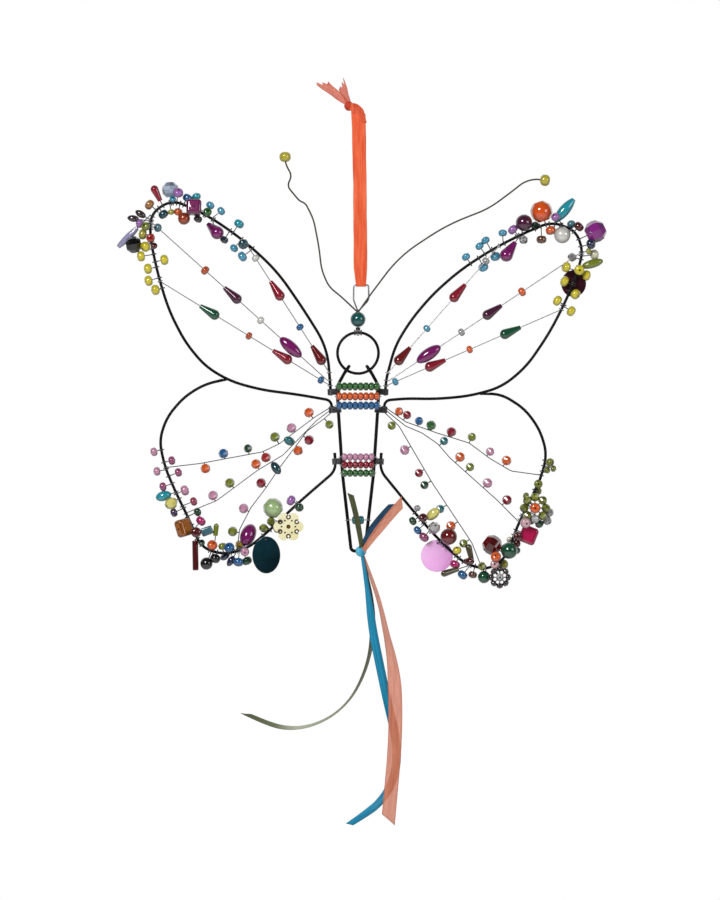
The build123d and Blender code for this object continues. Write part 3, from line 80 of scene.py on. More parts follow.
class Shade:
    """A shader socket that can be written into sums, and that makes further nodes."""

    def __init__(self, tree, socket=None):
        self.tree = tree
        self.socket = socket

    def feed(self, socket, value):
        if isinstance(value, Shade):
            self.tree.links.new(value.socket, socket)
        else:
            socket.default_value = value

    def node(self, kind, settings=None, out=0, **sockets):
        made = self.tree.nodes.new("ShaderNode" + kind)
        for key, value in (settings or {}).items():
            if key == "stops":
                ends = made.color_ramp.elements
                for index, (place, colour) in enumerate(value):
                    stop = ends[0] if index == 0 else ends[-1] if index == len(value) - 1 else ends.new(place)
                    stop.position = place
                    stop.color = colour
            else:
                setattr(made, key, value)
        for key, value in sockets.items():
            numbered = key[0] == "i" and key[1:].isdigit()
            self.feed(made.inputs[int(key[1:]) if numbered else key.replace("_", " ")], value)
        return Shade(self.tree, made.outputs[out])

    def beside(self, out):
        """Another output of the same node."""
        return Shade(self.tree, self.socket.node.outputs[out])

    def own_place(self):
        """Place on the piece, in the piece's own measure."""
        return self.node("TexCoord", out="Object")

    def blend(self, share, first, second, way="MIX"):
        """Colour between two colours."""
        return self.node("Mix", {"data_type": "RGBA", "blend_type": way}, 2, i0=share, i6=first, i7=second)

    def stretch(self, low, high):
        """The value spread out, from black at one level to white at another."""
        return self.node("ValToRGB", {"stops": [(low, BLACK), (high, WHITE)]}, Fac=self)

    def sum(self, operation, first, second):
        return self.node("Math", {"operation": operation}, i0=first, i1=second)

    def __add__(self, other):
        return self.sum("ADD", self, other)

    def __radd__(self, other):
        return self.sum("ADD", other, self)

    def __sub__(self, other):
        return self.sum("SUBTRACT", self, other)

    def __rsub__(self, other):
        return self.sum("SUBTRACT", other, self)

    def __mul__(self, other):
        return self.sum("MULTIPLY", self, other)

    def __rmul__(self, other):
        return self.sum("MULTIPLY", other, self)

    def __lt__(self, other):
        return self.sum("LESS_THAN", self, other)

    def __gt__(self, other):
        return self.sum("GREATER_THAN", self, other)


room = bpy.data.worlds.new("white_room")
scene.world = room
room.use_nodes = True
air = Shade(room.node_tree)
seen = air.node("LightPath", out="Is Camera Ray")
gloss = air.sum("MAXIMUM", air.node("LightPath", out="Is Glossy Ray"),
                air.node("LightPath", out="Is Transmission Ray"))
towards = air.node("SeparateXYZ", out="Y", Vector=air.node("TexCoord"))
card = air.sum("MINIMUM", air.sum("MAXIMUM", CARD_LEVEL + CARD_SLOPE * towards, CARD_LEAST), 1.0)
light = gloss * card + (1.0 - gloss) * ROOM_LIGHT
backdrop = room.node_tree.nodes["Background"].inputs
backdrop["Color"].default_value = WHITE
air.feed(backdrop["Strength"], air.sum("MAXIMUM", seen, light))

for lamp_name, place, size, power in LAMPS:
    bulb = bpy.data.lights.new(lamp_name, "AREA")
    bulb.size = size
    bulb.energy = power
    lamp = bpy.data.objects.new(lamp_name, bulb)
    scene.collection.objects.link(lamp)
    lamp.location = place
    lamp.rotation_euler = (Vector(place) - LAMP_AIM).to_track_quat("Z", "Y").to_euler()

# Floor: a round of pale card that lies far below the ornament, out of the front view.
# It glows a little towards the lens, so that it stays near white from above.
FLOOR_LEVEL = -0.75
FLOOR_RADIUS = 2.2
FLOOR_GLOW = 0.42


def new_finish(name, **settings):
    """Material with its shader's plain settings made, ready for what varies over the surface."""
    material = bpy.data.materials.new(name)
    material.use_nodes = True
    shader = material.node_tree.nodes["Principled BSDF"]
    for key, value in settings.items():
        shader.inputs[key.replace("_", " ")].default_value = value
    return material, Shade(material.node_tree), shader.inputs


def tone(code):
    """Linear colour of a six-figure screen colour."""
    parts = [int(code[place:place + 2], 16) / 255 for place in (0, 2, 4)]
    return tuple(p / 12.92 if p <= 0.04045 else ((p + 0.055) / 1.055) ** 2.4 for p in parts) + (1.0,)


def new_piece(name, shape, *finishes):
    """Object from a finished bmesh, with its materials."""
    mesh = bpy.data.meshes.new(name)
    shape.to_mesh(mesh)
    shape.free()
    for material in finishes:
        mesh.materials.append(material)
    piece = bpy.data.objects.new(name, mesh)
    scene.collection.objects.link(piece)
    return piece


ground = bmesh.new()
bmesh.ops.create_circle(ground, cap_ends=True, segments=64, radius=FLOOR_RADIUS)
bmesh.ops.translate(ground, verts=ground.verts, vec=(0, 0, FLOOR_LEVEL))
pale, board, paint = new_finish("pale_card", Roughness=0.8)
grain = board.node("TexNoise", Vector=board.own_place(), Scale=40.0, Detail=3.0)
board.feed(paint["Base Color"], board.blend(grain, tone("EDEDED"), tone("F6F6F5")))
seen = board.node("LightPath", out="Is Camera Ray")
board.feed(paint["Emission Color"], board.blend(seen, BLACK, tone("F2F2F1")))
paint["Emission Strength"].default_value = FLOOR_GLOW
new_piece("floor", ground, pale)

# Ribbons of the tail: three long ribbons, blue satin, sheer peach and olive satin, leave the
# knot at the bottom of the body. Each hangs as a flat strip that turns over on its way down.
CLOTH_THICKNESS = 0.0002
HEM = 0.455
STRIP_COLUMNS = 10
RIPPLE = 0.035
CUT_ROWS = 3.0
FRAY_THREADS = 23.0
TAILS = {
    "blue_ribbon": dict(
        route=[(361.8, 553, -0.3), (362.6, 558.3, -0.7), (366, 580, -0.9), (369.6, 605, -0.7),
               (373, 632, -0.3), (379.5, 664, 0.2), (387, 700, 0.8), (395, 733, 1.2), (397.5, 757, 1.3),
               (393.5, 782, 1.2), (380, 803, 0.9), (364, 815, 0.5), (349.4, 824.4, 0)],
        widths=(1.2, 1.5, 2.0, 3.2, 3.6, 3.6, 3.6, 3.6, 3.6, 3.6, 3.4, 3.2, 2.4),
        twists=(0, 0, 0, 10, 10, 0, 0, 0, 0, 10, 20, 10, 0), width=0.0036, slant=-0.45,
        # Past the crease the blue is darkened with painted shade of a lengthwise fold.
        cloth=("0C88B2", "066284", "24A8CE"), look=dict(crease=0.68), slot="blue_satin"),
    "peach_ribbon": dict(
        route=[(362.5, 554, 0.5), (365, 559.5, 0.7), (372, 580, 0.7), (380, 603, 0.2), (386.5, 633, -0.5),
               (392.5, 660, -1.1), (395, 688, -1.5), (395.6, 720, -1.6), (394.3, 752, -1.6),
               (391.5, 785, -1.5), (388.3, 819.5, -1.4)],
        widths=(1.2, 1.5, 2.6, 3.4, 4.2, 5.0, 5.8, 5.8, 5.8, 5.8, 5.8),
        twists=(40, 40, 55, 62, 56, 35, 8, 0, 0, 8, 10), width=0.0058, slant=0.35,
        cloth=("E2845E", "BE6242", "F2A27E"), look=dict(sheer=0.58), slot="peach_organza"),
    "green_ribbon": dict(
        route=[(362.5, 555, 1.2), (364, 561, 1.9), (367.5, 584, 2.4), (371, 607, 2.9), (373, 631, 3.2),
               (370.3, 655, 3.1), (363, 678, 2.6), (351.5, 699, 2.0), (335, 715, 1.2), (314, 725.5, 0.6),
               (292, 729, 0), (270, 725, -0.4), (246, 713.7, -0.6)],
        widths=(1.2, 1.6, 3.0, 3.8, 4.0, 4.0, 4.0, 4.0, 4.0, 4.0, 4.0, 3.8, 2.4),
        twists=(10, 10, 20, 40, 65, 74, 77, 79, 79, 77, 74, 68, 56), width=0.004, slant=0.9,
        cloth=("5F6642", "3A3F28", "8A9468"), slot="olive_satin",
        # Shine: a painted highlight, pale in the middle of its length where the olive satin turns to the
        # lamp.
        look=dict(shine=((0.0, "2E3222"), (0.5, "3B3D2E"), (0.72, "AEB694"), (0.84, "D3DBC0"),
                         (0.93, "6E7652"), (1.0, "474C34")))),
}


def satin(name, base, dark, light, length, width, sheer=1.0, crease=2.0, shine=None):
    """Ribbon cloth with lengthwise floats, close cross threads and a firm edge, on the strip's own map.
    Past the crease it is darkened with painted shade, shine is a painted highlight along it where the satin
    turns to the light, and its streaks are painted sheen."""
    material, cloth, paint = new_finish(name, Sheen_Weight=0.1, Sheen_Roughness=0.4, Specular_IOR_Level=0.3)
    sheet_map = cloth.node("UVMap", {"uv_map": "weave"})
    along = cloth.node("Mapping", Vector=sheet_map, Scale=(width / MILLIMETRE, length / MILLIMETRE, 1.0))
    floats = cloth.node("TexWave", {"bands_direction": "X"}, "Fac", Vector=along, Scale=1.9,
                        Distortion=0.6, Detail=1.0)
    weft = cloth.node("TexWave", {"bands_direction": "Y"}, "Fac", Vector=along, Scale=1.3,
                      Distortion=0.5, Detail=1.0)
    threads = floats * 0.5 + weft * 0.5
    # Painted sheen and shade: streaks between the dark and light tones along the floats.
    sheen_streak_map = cloth.node("Mapping", Vector=sheet_map, Scale=(7.0, 9.0, 1.0))
    sheen_streaks = cloth.node("TexNoise", Vector=sheen_streak_map, Scale=1.0).stretch(0.3, 0.7)
    across = cloth.node("SeparateXYZ", Vector=sheet_map)
    hem = cloth.sum("ABSOLUTE", across - 0.5, 0.0) > HEM
    colour = cloth.blend(sheen_streaks, tone(dark), tone(light))
    colour = cloth.blend(threads * 0.35 + 0.3, colour, tone(base))
    # Painted highlight: tones along the length, pale where the satin turns to the lamp.
    if shine:
        stops = [(place, tone(code)) for place, code in shine]
        painted_gleam = cloth.node("ValToRGB", {"stops": stops}, Fac=across.beside("Y"))
        colour = cloth.blend(0.25 + sheen_streaks * 0.2, painted_gleam, colour)
    # Darker at the hem, the selvage's own colour, and past the crease, painted shade of a lengthwise fold.
    colour = cloth.blend(hem * 0.4 + (across > crease) * 0.5, colour, tone(dark))
    cloth.feed(paint["Base Color"], colour)
    cloth.feed(paint["Roughness"], 0.5 - threads * 0.14)
    cloth.feed(paint["Normal"], cloth.node("Bump", Height=threads, Strength=0.35, Distance=0.00006))
    if sheer < 1.0:
        cloth.feed(paint["Alpha"], sheer + threads * 0.14 + hem * 0.2)
    return material


def between(values, share):
    """Value at a share of the way through a list."""
    place = min(share, 0.9999) * (len(values) - 1)
    low = int(place)
    return values[low] + (values[low + 1] - values[low]) * (place - low)


def lay_line(points):
    """Even points along the smooth line that the route's points draw."""
    route = bpy.data.curves.new("route", "CURVE")
    route.dimensions = "3D"
    route.resolution_u = 14
    run = route.splines.new("NURBS")
    run.points.add(len(points) - 1)
    for knot, place in zip(run.points, points):
        knot.co = (*place, 1.0)
    run.order_u = 3
    run.use_endpoint_u = True
    holder = bpy.data.objects.new("route", route)
    line = bpy.data.meshes.new_from_object(holder)
    places = [corner.co.copy() for corner in line.vertices]
    bpy.data.objects.remove(holder)
    bpy.data.meshes.remove(line)
    return places


def smooth(piece):
    """Soft shading on all of a piece's faces."""
    for face in piece.data.polygons:
        face.use_smooth = True


def thicken(piece):
    """A sheet's thickness of cloth, half to each side."""
    smooth(piece)
    wall = piece.modifiers.new("cloth_thickness", "SOLIDIFY")
    wall.thickness = CLOTH_THICKNESS
    wall.offset = 0.0


def strip(name, line, widths, twists, material, cup=0.05, slant=0.0, fray=0.0):
    """Ribbon laid along a line: a grid with one row to each point, turned by its twist and cut at the end."""
    shape = bmesh.new()
    shape.loops.layers.uv.new("weave")
    last = len(line) - 1
    bmesh.ops.create_grid(shape, x_segments=STRIP_COLUMNS, y_segments=last, size=0.5, calc_uvs=True)
    for corner in shape.verts:
        side, share = corner.co.x * 2, corner.co.y + 0.5
        index = round(share * last)
        heading = (line[min(index + 1, last)] - line[max(index - 1, 0)]).normalized()
        flat = heading.cross(Vector((0, 1, 0))).normalized()
        turn = math.radians(between(twists, share))
        across = flat * math.cos(turn) + heading.cross(flat) * math.sin(turn)
        width = between(widths, share) * MILLIMETRE
        wave = RIPPLE * math.sin(9.0 * share + 2.1 * side) + cup * (side * side - 0.4)
        cut = max(0.0, share - 1 + CUT_ROWS / last) * last / CUT_ROWS
        reach = slant * side * cut + fray * cut * math.sin(side * FRAY_THREADS)
        corner.co = (line[index] + across * side * width / 2 + heading.cross(across) * wave * width
                     + heading * reach * width)
    piece = new_piece(name, shape, material)
    thicken(piece)
    return piece


for tail, data in TAILS.items():
    line = lay_line([spot(*place) for place in data["route"]])
    length = sum((after - before).length for before, after in zip(line, line[1:]))
    cloth = satin(tail + "_cloth", *data["cloth"], length, data["width"], **data["look"])
    ribbon = strip(tail + "_strip", line, data["widths"], data["twists"], cloth, slant=data["slant"])
    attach(ribbon, "tails")
    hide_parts(tail)

# Hanger: a band of orange ribbon doubled over the hook and through the wire eye below.
# Both layers lie close together, narrow into the eye and have soft lengthwise folds.
SPLIT = 0.00042
HOOK_CENTRE = Vector((0, SPLIT, -0.0027))
EYE_CENTRE = Vector((0, SPLIT, -0.0736185))
HOOK_BEND = 0.002825
EYE_BEND = 0.000595
BAND_LEFT = ((110, 351.0), (124, 351.8), (180, 353.2), (268, 353.8), (292, 356.8))
BAND_RIGHT = ((110, 359.5), (112, 363.5), (115, 365.6), (124, 365.6), (180, 366.4), (268, 367.2),
              (292, 365.6))
BAND_COLUMNS, BAND_STEPS = 12, 72
FOLDS_START, FOLDS_GROW, FOLDS_END, FOLDS_FADE = 116, 20, 282, 30
WIDE_FOLD, FINE_FOLD, EDGE_SWAY = 0.00016, 0.0001, 0.00008
UPWARDS = Vector((0.013, 0.37, 1.0))


def set_order(shape):
    """A spin leaves its parts in any order; sorted upwards, they are the same in each run."""
    shape.verts.sort(key=lambda corner: corner.co.dot(UPWARDS))
    shape.edges.sort(key=lambda edge: (edge.verts[0].co + edge.verts[1].co).dot(UPWARDS))
    shape.faces.sort(key=lambda face: face.calc_center_median().dot(UPWARDS))


def band_edge(table, down):
    """Pixel of the band's edge at a level."""
    for (high, first), (low, second) in zip(table, table[1:]):
        if down <= low:
            return first + (second - first) * (down - high) / (low - high)
    return table[-1][1]


def cloth_with_painted_sheen(name, base, dark, light):
    """Ribbon cloth read on the piece's own place: warp across, weft up and down, and streaks of painted sheen
    and shade along soft folds.
    """
    material, cloth, paint = new_finish(name, Sheen_Weight=0.1, Sheen_Roughness=0.45, Specular_IOR_Level=0.25)
    where = cloth.own_place()
    warp = cloth.node("TexWave", {"bands_direction": "X"}, "Fac", Vector=where, Scale=900.0,
                      Distortion=0.8, Detail=1.0)
    weft = cloth.node("TexWave", {"bands_direction": "Z"}, "Fac", Vector=where, Scale=700.0,
                      Distortion=0.8, Detail=1.0)
    threads = warp * 0.5 + weft * 0.5
    # Painted sheen and shade: streaks between the dark and light tones along the folds.
    sheen_streak_map = cloth.node("Mapping", Vector=where, Scale=(900.0, 300.0, 90.0))
    sheen_streaks = cloth.node("TexNoise", Vector=sheen_streak_map, Scale=1.0, Detail=3.0).stretch(0.32, 0.68)
    colour = cloth.blend(sheen_streaks, tone(dark), tone(light))
    cloth.feed(paint["Base Color"], cloth.blend(threads * 0.4 + 0.1, colour, tone(base)))
    cloth.feed(paint["Roughness"], 0.62 - threads * 0.15)
    cloth.feed(paint["Normal"], cloth.node("Bump", Height=threads, Strength=0.4, Distance=0.00006))
    return material


band = bmesh.new()
bmesh.ops.create_grid(band, x_segments=BAND_COLUMNS, y_segments=BAND_STEPS, size=0.5)
for corner in band.verts:
    share = corner.co.y + 0.5
    lean = EYE_BEND + (HOOK_BEND - EYE_BEND) * share
    corner.co = (corner.co.x, SPLIT - lean, EYE_CENTRE.z + (HOOK_CENTRE.z - EYE_CENTRE.z) * share)
rim = [edge for edge in band.edges if all(corner.co.z > HOOK_CENTRE.z - 1e-7 for corner in edge.verts)]
turned = bmesh.ops.spin(band, geom=rim, cent=HOOK_CENTRE, axis=(1, 0, 0), angle=-math.pi, steps=16)
row = [part for part in turned["geom_last"] if isinstance(part, bmesh.types.BMEdge)]
drop = Vector((0, -(HOOK_BEND - EYE_BEND), EYE_CENTRE.z - HOOK_CENTRE.z)) / BAND_STEPS
for step in range(BAND_STEPS):
    grown = bmesh.ops.extrude_edge_only(band, edges=row)["geom"]
    row = [part for part in grown if isinstance(part, bmesh.types.BMEdge)]
    moved = [part for part in grown if isinstance(part, bmesh.types.BMVert)]
    bmesh.ops.translate(band, verts=moved, vec=drop)
bmesh.ops.spin(band, geom=row, cent=EYE_CENTRE, axis=(1, 0, 0), angle=-math.pi, steps=8)
bmesh.ops.remove_doubles(band, verts=band.verts, dist=1e-5)
bmesh.ops.recalc_face_normals(band, faces=band.faces)
for corner in band.verts:
    down = HOOK_DOWN - corner.co.z / PIXEL
    left, right = band_edge(BAND_LEFT, down), band_edge(BAND_RIGHT, down)
    side = corner.co.x + 0.5
    front = 1 if corner.co.y < SPLIT else -1
    loose = max(0.0, min(1.0, (down - FOLDS_START) / FOLDS_GROW, (FOLDS_END - down) / FOLDS_FADE))
    fold = WIDE_FOLD * math.sin(7.0 * side + 0.045 * down * front)
    fold += FINE_FOLD * math.sin(17.0 * side - 0.03 * down)
    sway = EDGE_SWAY * math.sin(0.11 * down + front)
    corner.co.x = (left + (right - left) * side - BODY_ACROSS) * PIXEL + sway * loose
    corner.co.y += fold * loose
set_order(band)
hanger = new_piece("hanger_band", band, cloth_with_painted_sheen("hanger_cloth", "F05E30", "D84A20", "F8784C"))
thicken(hanger)
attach(hanger, "hanger")
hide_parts("hanger_ribbon")


# Knot and cut ends of the hanger: the two ends are tied once beside the hook and trimmed.
# The turns of the knot lie over each other, a fold of the ribbon hoods the hook, and the cut
# ends have frayed a little.
KNOT_CORE, TURN_SEAT, TURN_STEP, TURN_CROWN, TURN_CREASE = 0.8, 0.86, 0.05, 0.16, 0.03
HANGER_KNOT, HANGER_KNOT_RADIUS, HANGER_TURN_WIDTH = spot(349, 106, 0.42), 0.0017, 0.0022
HANGER_TURNS = ((28, 20), (-35, -15), (75, 30))
FRAYED_LENGTH, FRAYED_WIDTH = 0.014, 0.0036
HOOD_ROUTE = ((349, 106, -0.4), (351.5, 107, -1.9), (355.5, 109, -2.8), (361, 114, -2.9), (364, 123, -2.7))
LONG_ROUTE = ((348, 104, -0.18), (336, 95, -0.18), (322.5, 83.5, -0.18))
SHORT_ROUTE = ((349, 104, 1.02), (345.5, 94, 1.02), (342, 85, 1.02))


def joined(corner):
    """All the corners that edges join to one corner."""
    found, reach = {corner}, [corner]
    while reach:
        start = reach.pop()
        for edge in start.link_edges:
            other = edge.other_vert(start)
            if other not in found:
                found.add(other)
                reach.append(other)
    return list(found)


def tied_knot(name, centre, radius, turns, width, material):
    """Turns of ribbon drawn tight round a core: each a crowned band spun round its own slanted axis."""
    shape = bmesh.new()
    bmesh.ops.create_icosphere(shape, subdivisions=3, radius=radius * KNOT_CORE)
    for corner in shape.verts:
        corner.co.x *= 1.05
    for order, (lean, roll) in enumerate(turns):
        swing = Matrix.Rotation(math.radians(roll), 3, "Y") @ Matrix.Rotation(math.radians(lean), 3, "Z")
        profile = []
        for step in range(9):
            side = step / 4 - 1
            crown = TURN_CROWN * (1 - side * side) + TURN_CREASE * math.sin(9 * side)
            bulge = radius * (TURN_SEAT + TURN_STEP * order) + width * crown
            profile.append(shape.verts.new((side * width / 2, 0, bulge)))
        edges = [shape.edges.new(pair) for pair in zip(profile, profile[1:])]
        bmesh.ops.spin(shape, geom=profile + edges, cent=(0, 0, 0), axis=(1, 0, 0), angle=math.tau, steps=40,
                       use_merge=True)
        bmesh.ops.rotate(shape, verts=joined(profile[0]), cent=(0, 0, 0), matrix=swing)
    bmesh.ops.recalc_face_normals(shape, faces=shape.faces)
    bmesh.ops.translate(shape, verts=shape.verts, vec=centre)
    set_order(shape)
    piece = new_piece(name, shape, material)
    smooth(piece)
    return piece


hanger_knot = tied_knot("hanger_knot_turns", HANGER_KNOT, HANGER_KNOT_RADIUS, HANGER_TURNS, HANGER_TURN_WIDTH,
                        cloth_with_painted_sheen("hanger_knot_cloth", "C8341E", "9A2012", "E05632"))
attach(hanger_knot, "hanger")
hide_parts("hanger_knot")
frayed = satin("frayed_orange", "E8623A", "B93F22", "F59270", FRAYED_LENGTH, FRAYED_WIDTH, sheer=0.6)
hood = strip("hanger_hood", lay_line([spot(*place) for place in HOOD_ROUTE]), (2.0, 3.4, 4.4, 4.6, 2.2),
             (5, 12, 20, 25, 30), cloth_with_painted_sheen("hanger_hood_cloth", "E2522E", "BE3A1E", "F27A50"),
             cup=0.16, slant=0.3)
long_end = strip("hanger_long_end", lay_line([spot(*place) for place in LONG_ROUTE]), (2.0, 4.2, 4.6),
                 (20, 35, 20), frayed, cup=0.12, slant=0.5, fray=0.2)
short_end = strip("hanger_short_end", lay_line([spot(*place) for place in SHORT_ROUTE]), (2.0, 3.6, 4.2),
                  (-25, -40, -30), frayed, cup=0.12, slant=-0.4, fray=0.25)
for end in (long_end, short_end, hood):
    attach(end, "hanger")
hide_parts("hanger_ends")

# Knot and short ends at the tail: the ribbons are tied round the bottom of the body wire.
# Three short ends stand up in front of the body: olive, dark blue and sheer peach.
TAIL_KNOT, TAIL_KNOT_RADIUS, TAIL_TURN_WIDTH = spot(361, 551), 0.0021, 0.0026
TAIL_TURNS = ((20, 80), (-25, 95), (15, 20))
END_LENGTH, END_WIDTH = 0.028, 0.0034
SHORT_ENDS = (
    ("olive_end", ((362, 550, -1.6), (358.5, 522, -2.4), (350.6, 494, -3.2)), (1.8, 2.5, 2.3), (15, 25, 10),
     0.4, ("474D2E", "2B301C", "646C42"), 1.0),
    ("navy_end", ((361, 552, -0.9), (369, 528, -2.1), (392.7, 504, -3.4)), (1.8, 3.4, 2.6), (0, 15, 25),
     -0.5, ("1F4A6C", "12304C", "3A6E92"), 1.0),
    ("peach_end", ((362, 553, -1.7), (378, 528, -5.1), (402, 502, -8.5)), (1.8, 3.4, 3.8), (10, 10, 0),
     0.45, ("E08A66", "BC664A", "F0A484"), 0.68),
)
tail_knot = tied_knot("tail_knot_turns", TAIL_KNOT, TAIL_KNOT_RADIUS, TAIL_TURNS, TAIL_TURN_WIDTH,
                      cloth_with_painted_sheen("tail_knot_cloth", "35B4DA", "117FAC", "74D4EE"))
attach(tail_knot, "body")
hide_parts("ribbon_knot")
for end_name, route, widths, twists, slant, colours, sheer in SHORT_ENDS:
    end = strip(end_name, lay_line([spot(*place) for place in route]), widths, twists,
                satin(end_name + "_cloth", *colours, END_LENGTH, END_WIDTH, sheer), cup=0.1, slant=slant)
    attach(end, "body")
    if end_name == "olive_end":
        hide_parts("ribbon_short_ends")

# Frame wires: head ring, body wire and wing wires are iron wire painted black.
# The paint is thin and semi gloss, a little uneven, and rubbed greyer on high spots; it is
# drawn slightly finer than the solid, as the painted wire looks beside its turns of pin wire.
FRAME_WIRES = (("head_ring", "head", 0.0002), ("body_frame", "body", 0.0001),
               ("left_upper_frame", "left_wing", 0.0002), ("left_lower_frame", "left_wing", 0.0002),
               ("right_upper_frame", "right_wing", 0.0002), ("right_lower_frame", "right_wing", 0.0002))
MERGE = 2e-6
iron, coat, paint = new_finish("black_paint", Specular_IOR_Level=0.16)
patches = coat.node("TexNoise", Vector=coat.own_place(), Scale=260.0, Detail=4.0)
fine = coat.node("TexNoise", Vector=coat.own_place(), Scale=1500.0, Detail=2.0)
coat.feed(paint["Base Color"], coat.blend(patches.stretch(0.6, 0.8), tone("0B0B0C"), tone("242425")))
coat.feed(paint["Roughness"], 0.3 + patches * 0.22)
coat.feed(paint["Normal"], coat.node("Bump", Height=fine, Strength=0.25, Distance=0.00005))

for name, body, finer in FRAME_WIRES:
    wire = bmesh.new()
    wire.from_mesh(nodes[name].data)
    bmesh.ops.remove_doubles(wire, verts=wire.verts, dist=MERGE)
    wire.normal_update()
    for corner, out in [(corner, corner.normal.copy()) for corner in wire.verts]:
        corner.co -= out * finer
    piece = new_piece(name + "_painted", wire, iron)
    smooth(piece)
    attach(piece, body)
    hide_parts(name)


# Antennae: fine dark lacquered wire, wound round the head ring, through the pearl and out.
# The lacquer is brown black and uneven.
def dress(names, material):
    """The shaped solid stays and takes a finish."""
    for name in names:
        nodes[name].data.materials.clear()
        nodes[name].data.materials.append(material)
        smooth(nodes[name])


lacquer, coat, paint = new_finish("dark_lacquer", Specular_IOR_Level=0.2)
patches = coat.node("TexNoise", Vector=coat.own_place(), Scale=700.0, Detail=3.0)
coat.feed(paint["Base Color"], coat.blend(patches, tone("2C2926"), tone("5E5852")))
coat.feed(paint["Roughness"], 0.3 + patches * 0.25)
dress(("antenna_wire",), lacquer)


# Thin wires: bright drawn wire for the hanging eye, cross wires and upper strings, and dull
# annealed wire for the twigs and the bead pins. Both are a little uneven in colour and gloss.
def thin_wire(name, dark, light):
    """Bare wire between two greys."""
    material, metal, paint = new_finish(name, Metallic=1.0)
    lines = metal.node("TexNoise", Vector=metal.own_place(), Scale=900.0, Detail=3.0)
    dull = metal.node("TexNoise", Vector=metal.own_place(), Scale=160.0, Detail=2.0)
    metal.feed(paint["Base Color"], metal.blend(dull, tone(dark), tone(light)))
    metal.feed(paint["Roughness"], 0.26 + lines * 0.22)
    return material


bright_wire = thin_wire("bright_wire", "8E8E92", "C6C6CA")
dull_wire = thin_wire("dull_wire", "333336", "7C7C80")
dress(("hanging_eye", "cross_wires", "left_upper_strings", "right_upper_strings"), bright_wire)
dress(("left_lower_strings", "right_lower_strings", "left_bead_pins", "right_bead_pins"), dull_wire)

# Stem turns: the wire end is wound under the pearl and beside it on the head ring.
# Each turn is a round section spun into a ring, laid close to the next.
STEM_TURNS_DOWN = (327.9, 328.9, 329.9)
STEM_TURN_RADIUS, STEM_TURN_GAUGE = 0.00082, 0.00042
RING_TURNS_ACROSS = (354.6, 356.0, 360.0, 361.4)
RING_TOP_DOWN = 332.6
RING_TURN_RADIUS, RING_TURN_GAUGE = 0.0010, 0.00046


def wire_turn(shape, centre, radius, gauge, axis):
    """One turn of round wire about an axis."""
    side = Vector((1, 0, 0)) if abs(axis.x) < 0.5 else Vector((0, 0, 1))
    stand = Matrix((side, axis, side.cross(axis))).transposed().to_4x4()
    section = bmesh.ops.create_circle(shape, segments=10, radius=gauge / 2,
                                      matrix=Matrix.Translation(centre + side * radius) @ stand)["verts"]
    edges = list({edge for corner in section for edge in corner.link_edges})
    bmesh.ops.spin(shape, geom=section + edges, cent=centre, axis=axis, angle=math.tau, steps=28,
                   use_merge=True)


stem = bmesh.new()
for down in STEM_TURNS_DOWN:
    wire_turn(stem, spot(BODY_ACROSS, down), STEM_TURN_RADIUS, STEM_TURN_GAUGE, Vector((0, 0, 1)))
for across in RING_TURNS_ACROSS:
    wire_turn(stem, spot(across, RING_TOP_DOWN), RING_TURN_RADIUS, RING_TURN_GAUGE, Vector((1, 0, 0)))
bmesh.ops.recalc_face_normals(stem, faces=stem.faces)
set_order(stem)
turns = new_piece("stem_turns", stem, dull_wire)
smooth(turns)
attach(turns, "link")

# Ties: each wing foot is lashed to the body wire with a few close turns of the thin wire.
# The ring of the solid is laid side by side along the body wire to make the turns.
SHOULDER, WAIST = spot(379.2, 387), spot(373.5, 474)
TURN_PITCH = 0.00052
UPPER_TURNS, LOWER_TURNS = (-2, -1, 1, 2), (-1, 1, 2, 3)
UPPER_TIE_END = -0.1205
for side, wing in ((-1, "left"), (1, "right")):
    lash = bmesh.new()
    lash.from_mesh(nodes[wing + "_tie_rings"].data)
    bmesh.ops.remove_doubles(lash, verts=lash.verts, dist=MERGE)
    heading = (WAIST - SHOULDER).normalized()
    heading.x *= side
    first = lash.verts[:] + lash.edges[:] + lash.faces[:]
    for lower, upper in zip(LOWER_TURNS, UPPER_TURNS):
        more = bmesh.ops.duplicate(lash, geom=first)["geom"]
        for corner in [part for part in more if isinstance(part, bmesh.types.BMVert)]:
            corner.co += heading * TURN_PITCH * (upper if corner.co.z > UPPER_TIE_END else lower)
    tie = new_piece(wing + "_lashing", lash, dull_wire)
    smooth(tie)
    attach(tie, wing + "_wing")
    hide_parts(wing + "_tie_rings")


# Beads: glass seeds, pearls and cut crystals. Pressed glass is glossy and tinted through; each bead's
# colour is darkened towards its rim as seen from the lens, painted shade that for glass also stands for
# its deeper tint. Pearls have a soft lustrous coat; cut crystal has flat polished facets, each given
# its own painted brightness, as if each caught the light differently.
def bead_finish(name, painted_rim_shade, spread, low, high, **settings):
    """Tinted glass: painted shade darkens it to the rim, and painted light per facet varies it more than the
    swirl of its own uneven tone.
    """
    material, melt, paint = new_finish(name, **settings)
    tint = melt.node("Attribute", {"attribute_name": "tint"})
    facet = melt.node("Attribute", {"attribute_name": "facet"}, "Fac")
    swirl = melt.node("TexNoise", Vector=melt.own_place(), Scale=420.0, Detail=2.0)
    rim = melt.node("LayerWeight", out="Facing", Blend=0.42)
    # Painted shade: the colour darkens where the surface turns away from the lens.
    colour = melt.blend(rim * painted_rim_shade, tint, tone("2A2A2C"), "MULTIPLY")
    # Painted light: each facet has its own brightness, standing in for the light it catches; the swirl is the
    # glass's own uneven tone.
    light = melt.blend(facet * spread + swirl * (1 - spread), tone(low), tone(high))
    melt.feed(paint["Base Color"], melt.blend(0.8, colour, light, "MULTIPLY"))
    melt.feed(paint["Roughness"], 0.06 + swirl * 0.08)
    melt.feed(paint["Coat Weight"], 0.6 + swirl * 0.4)
    return material


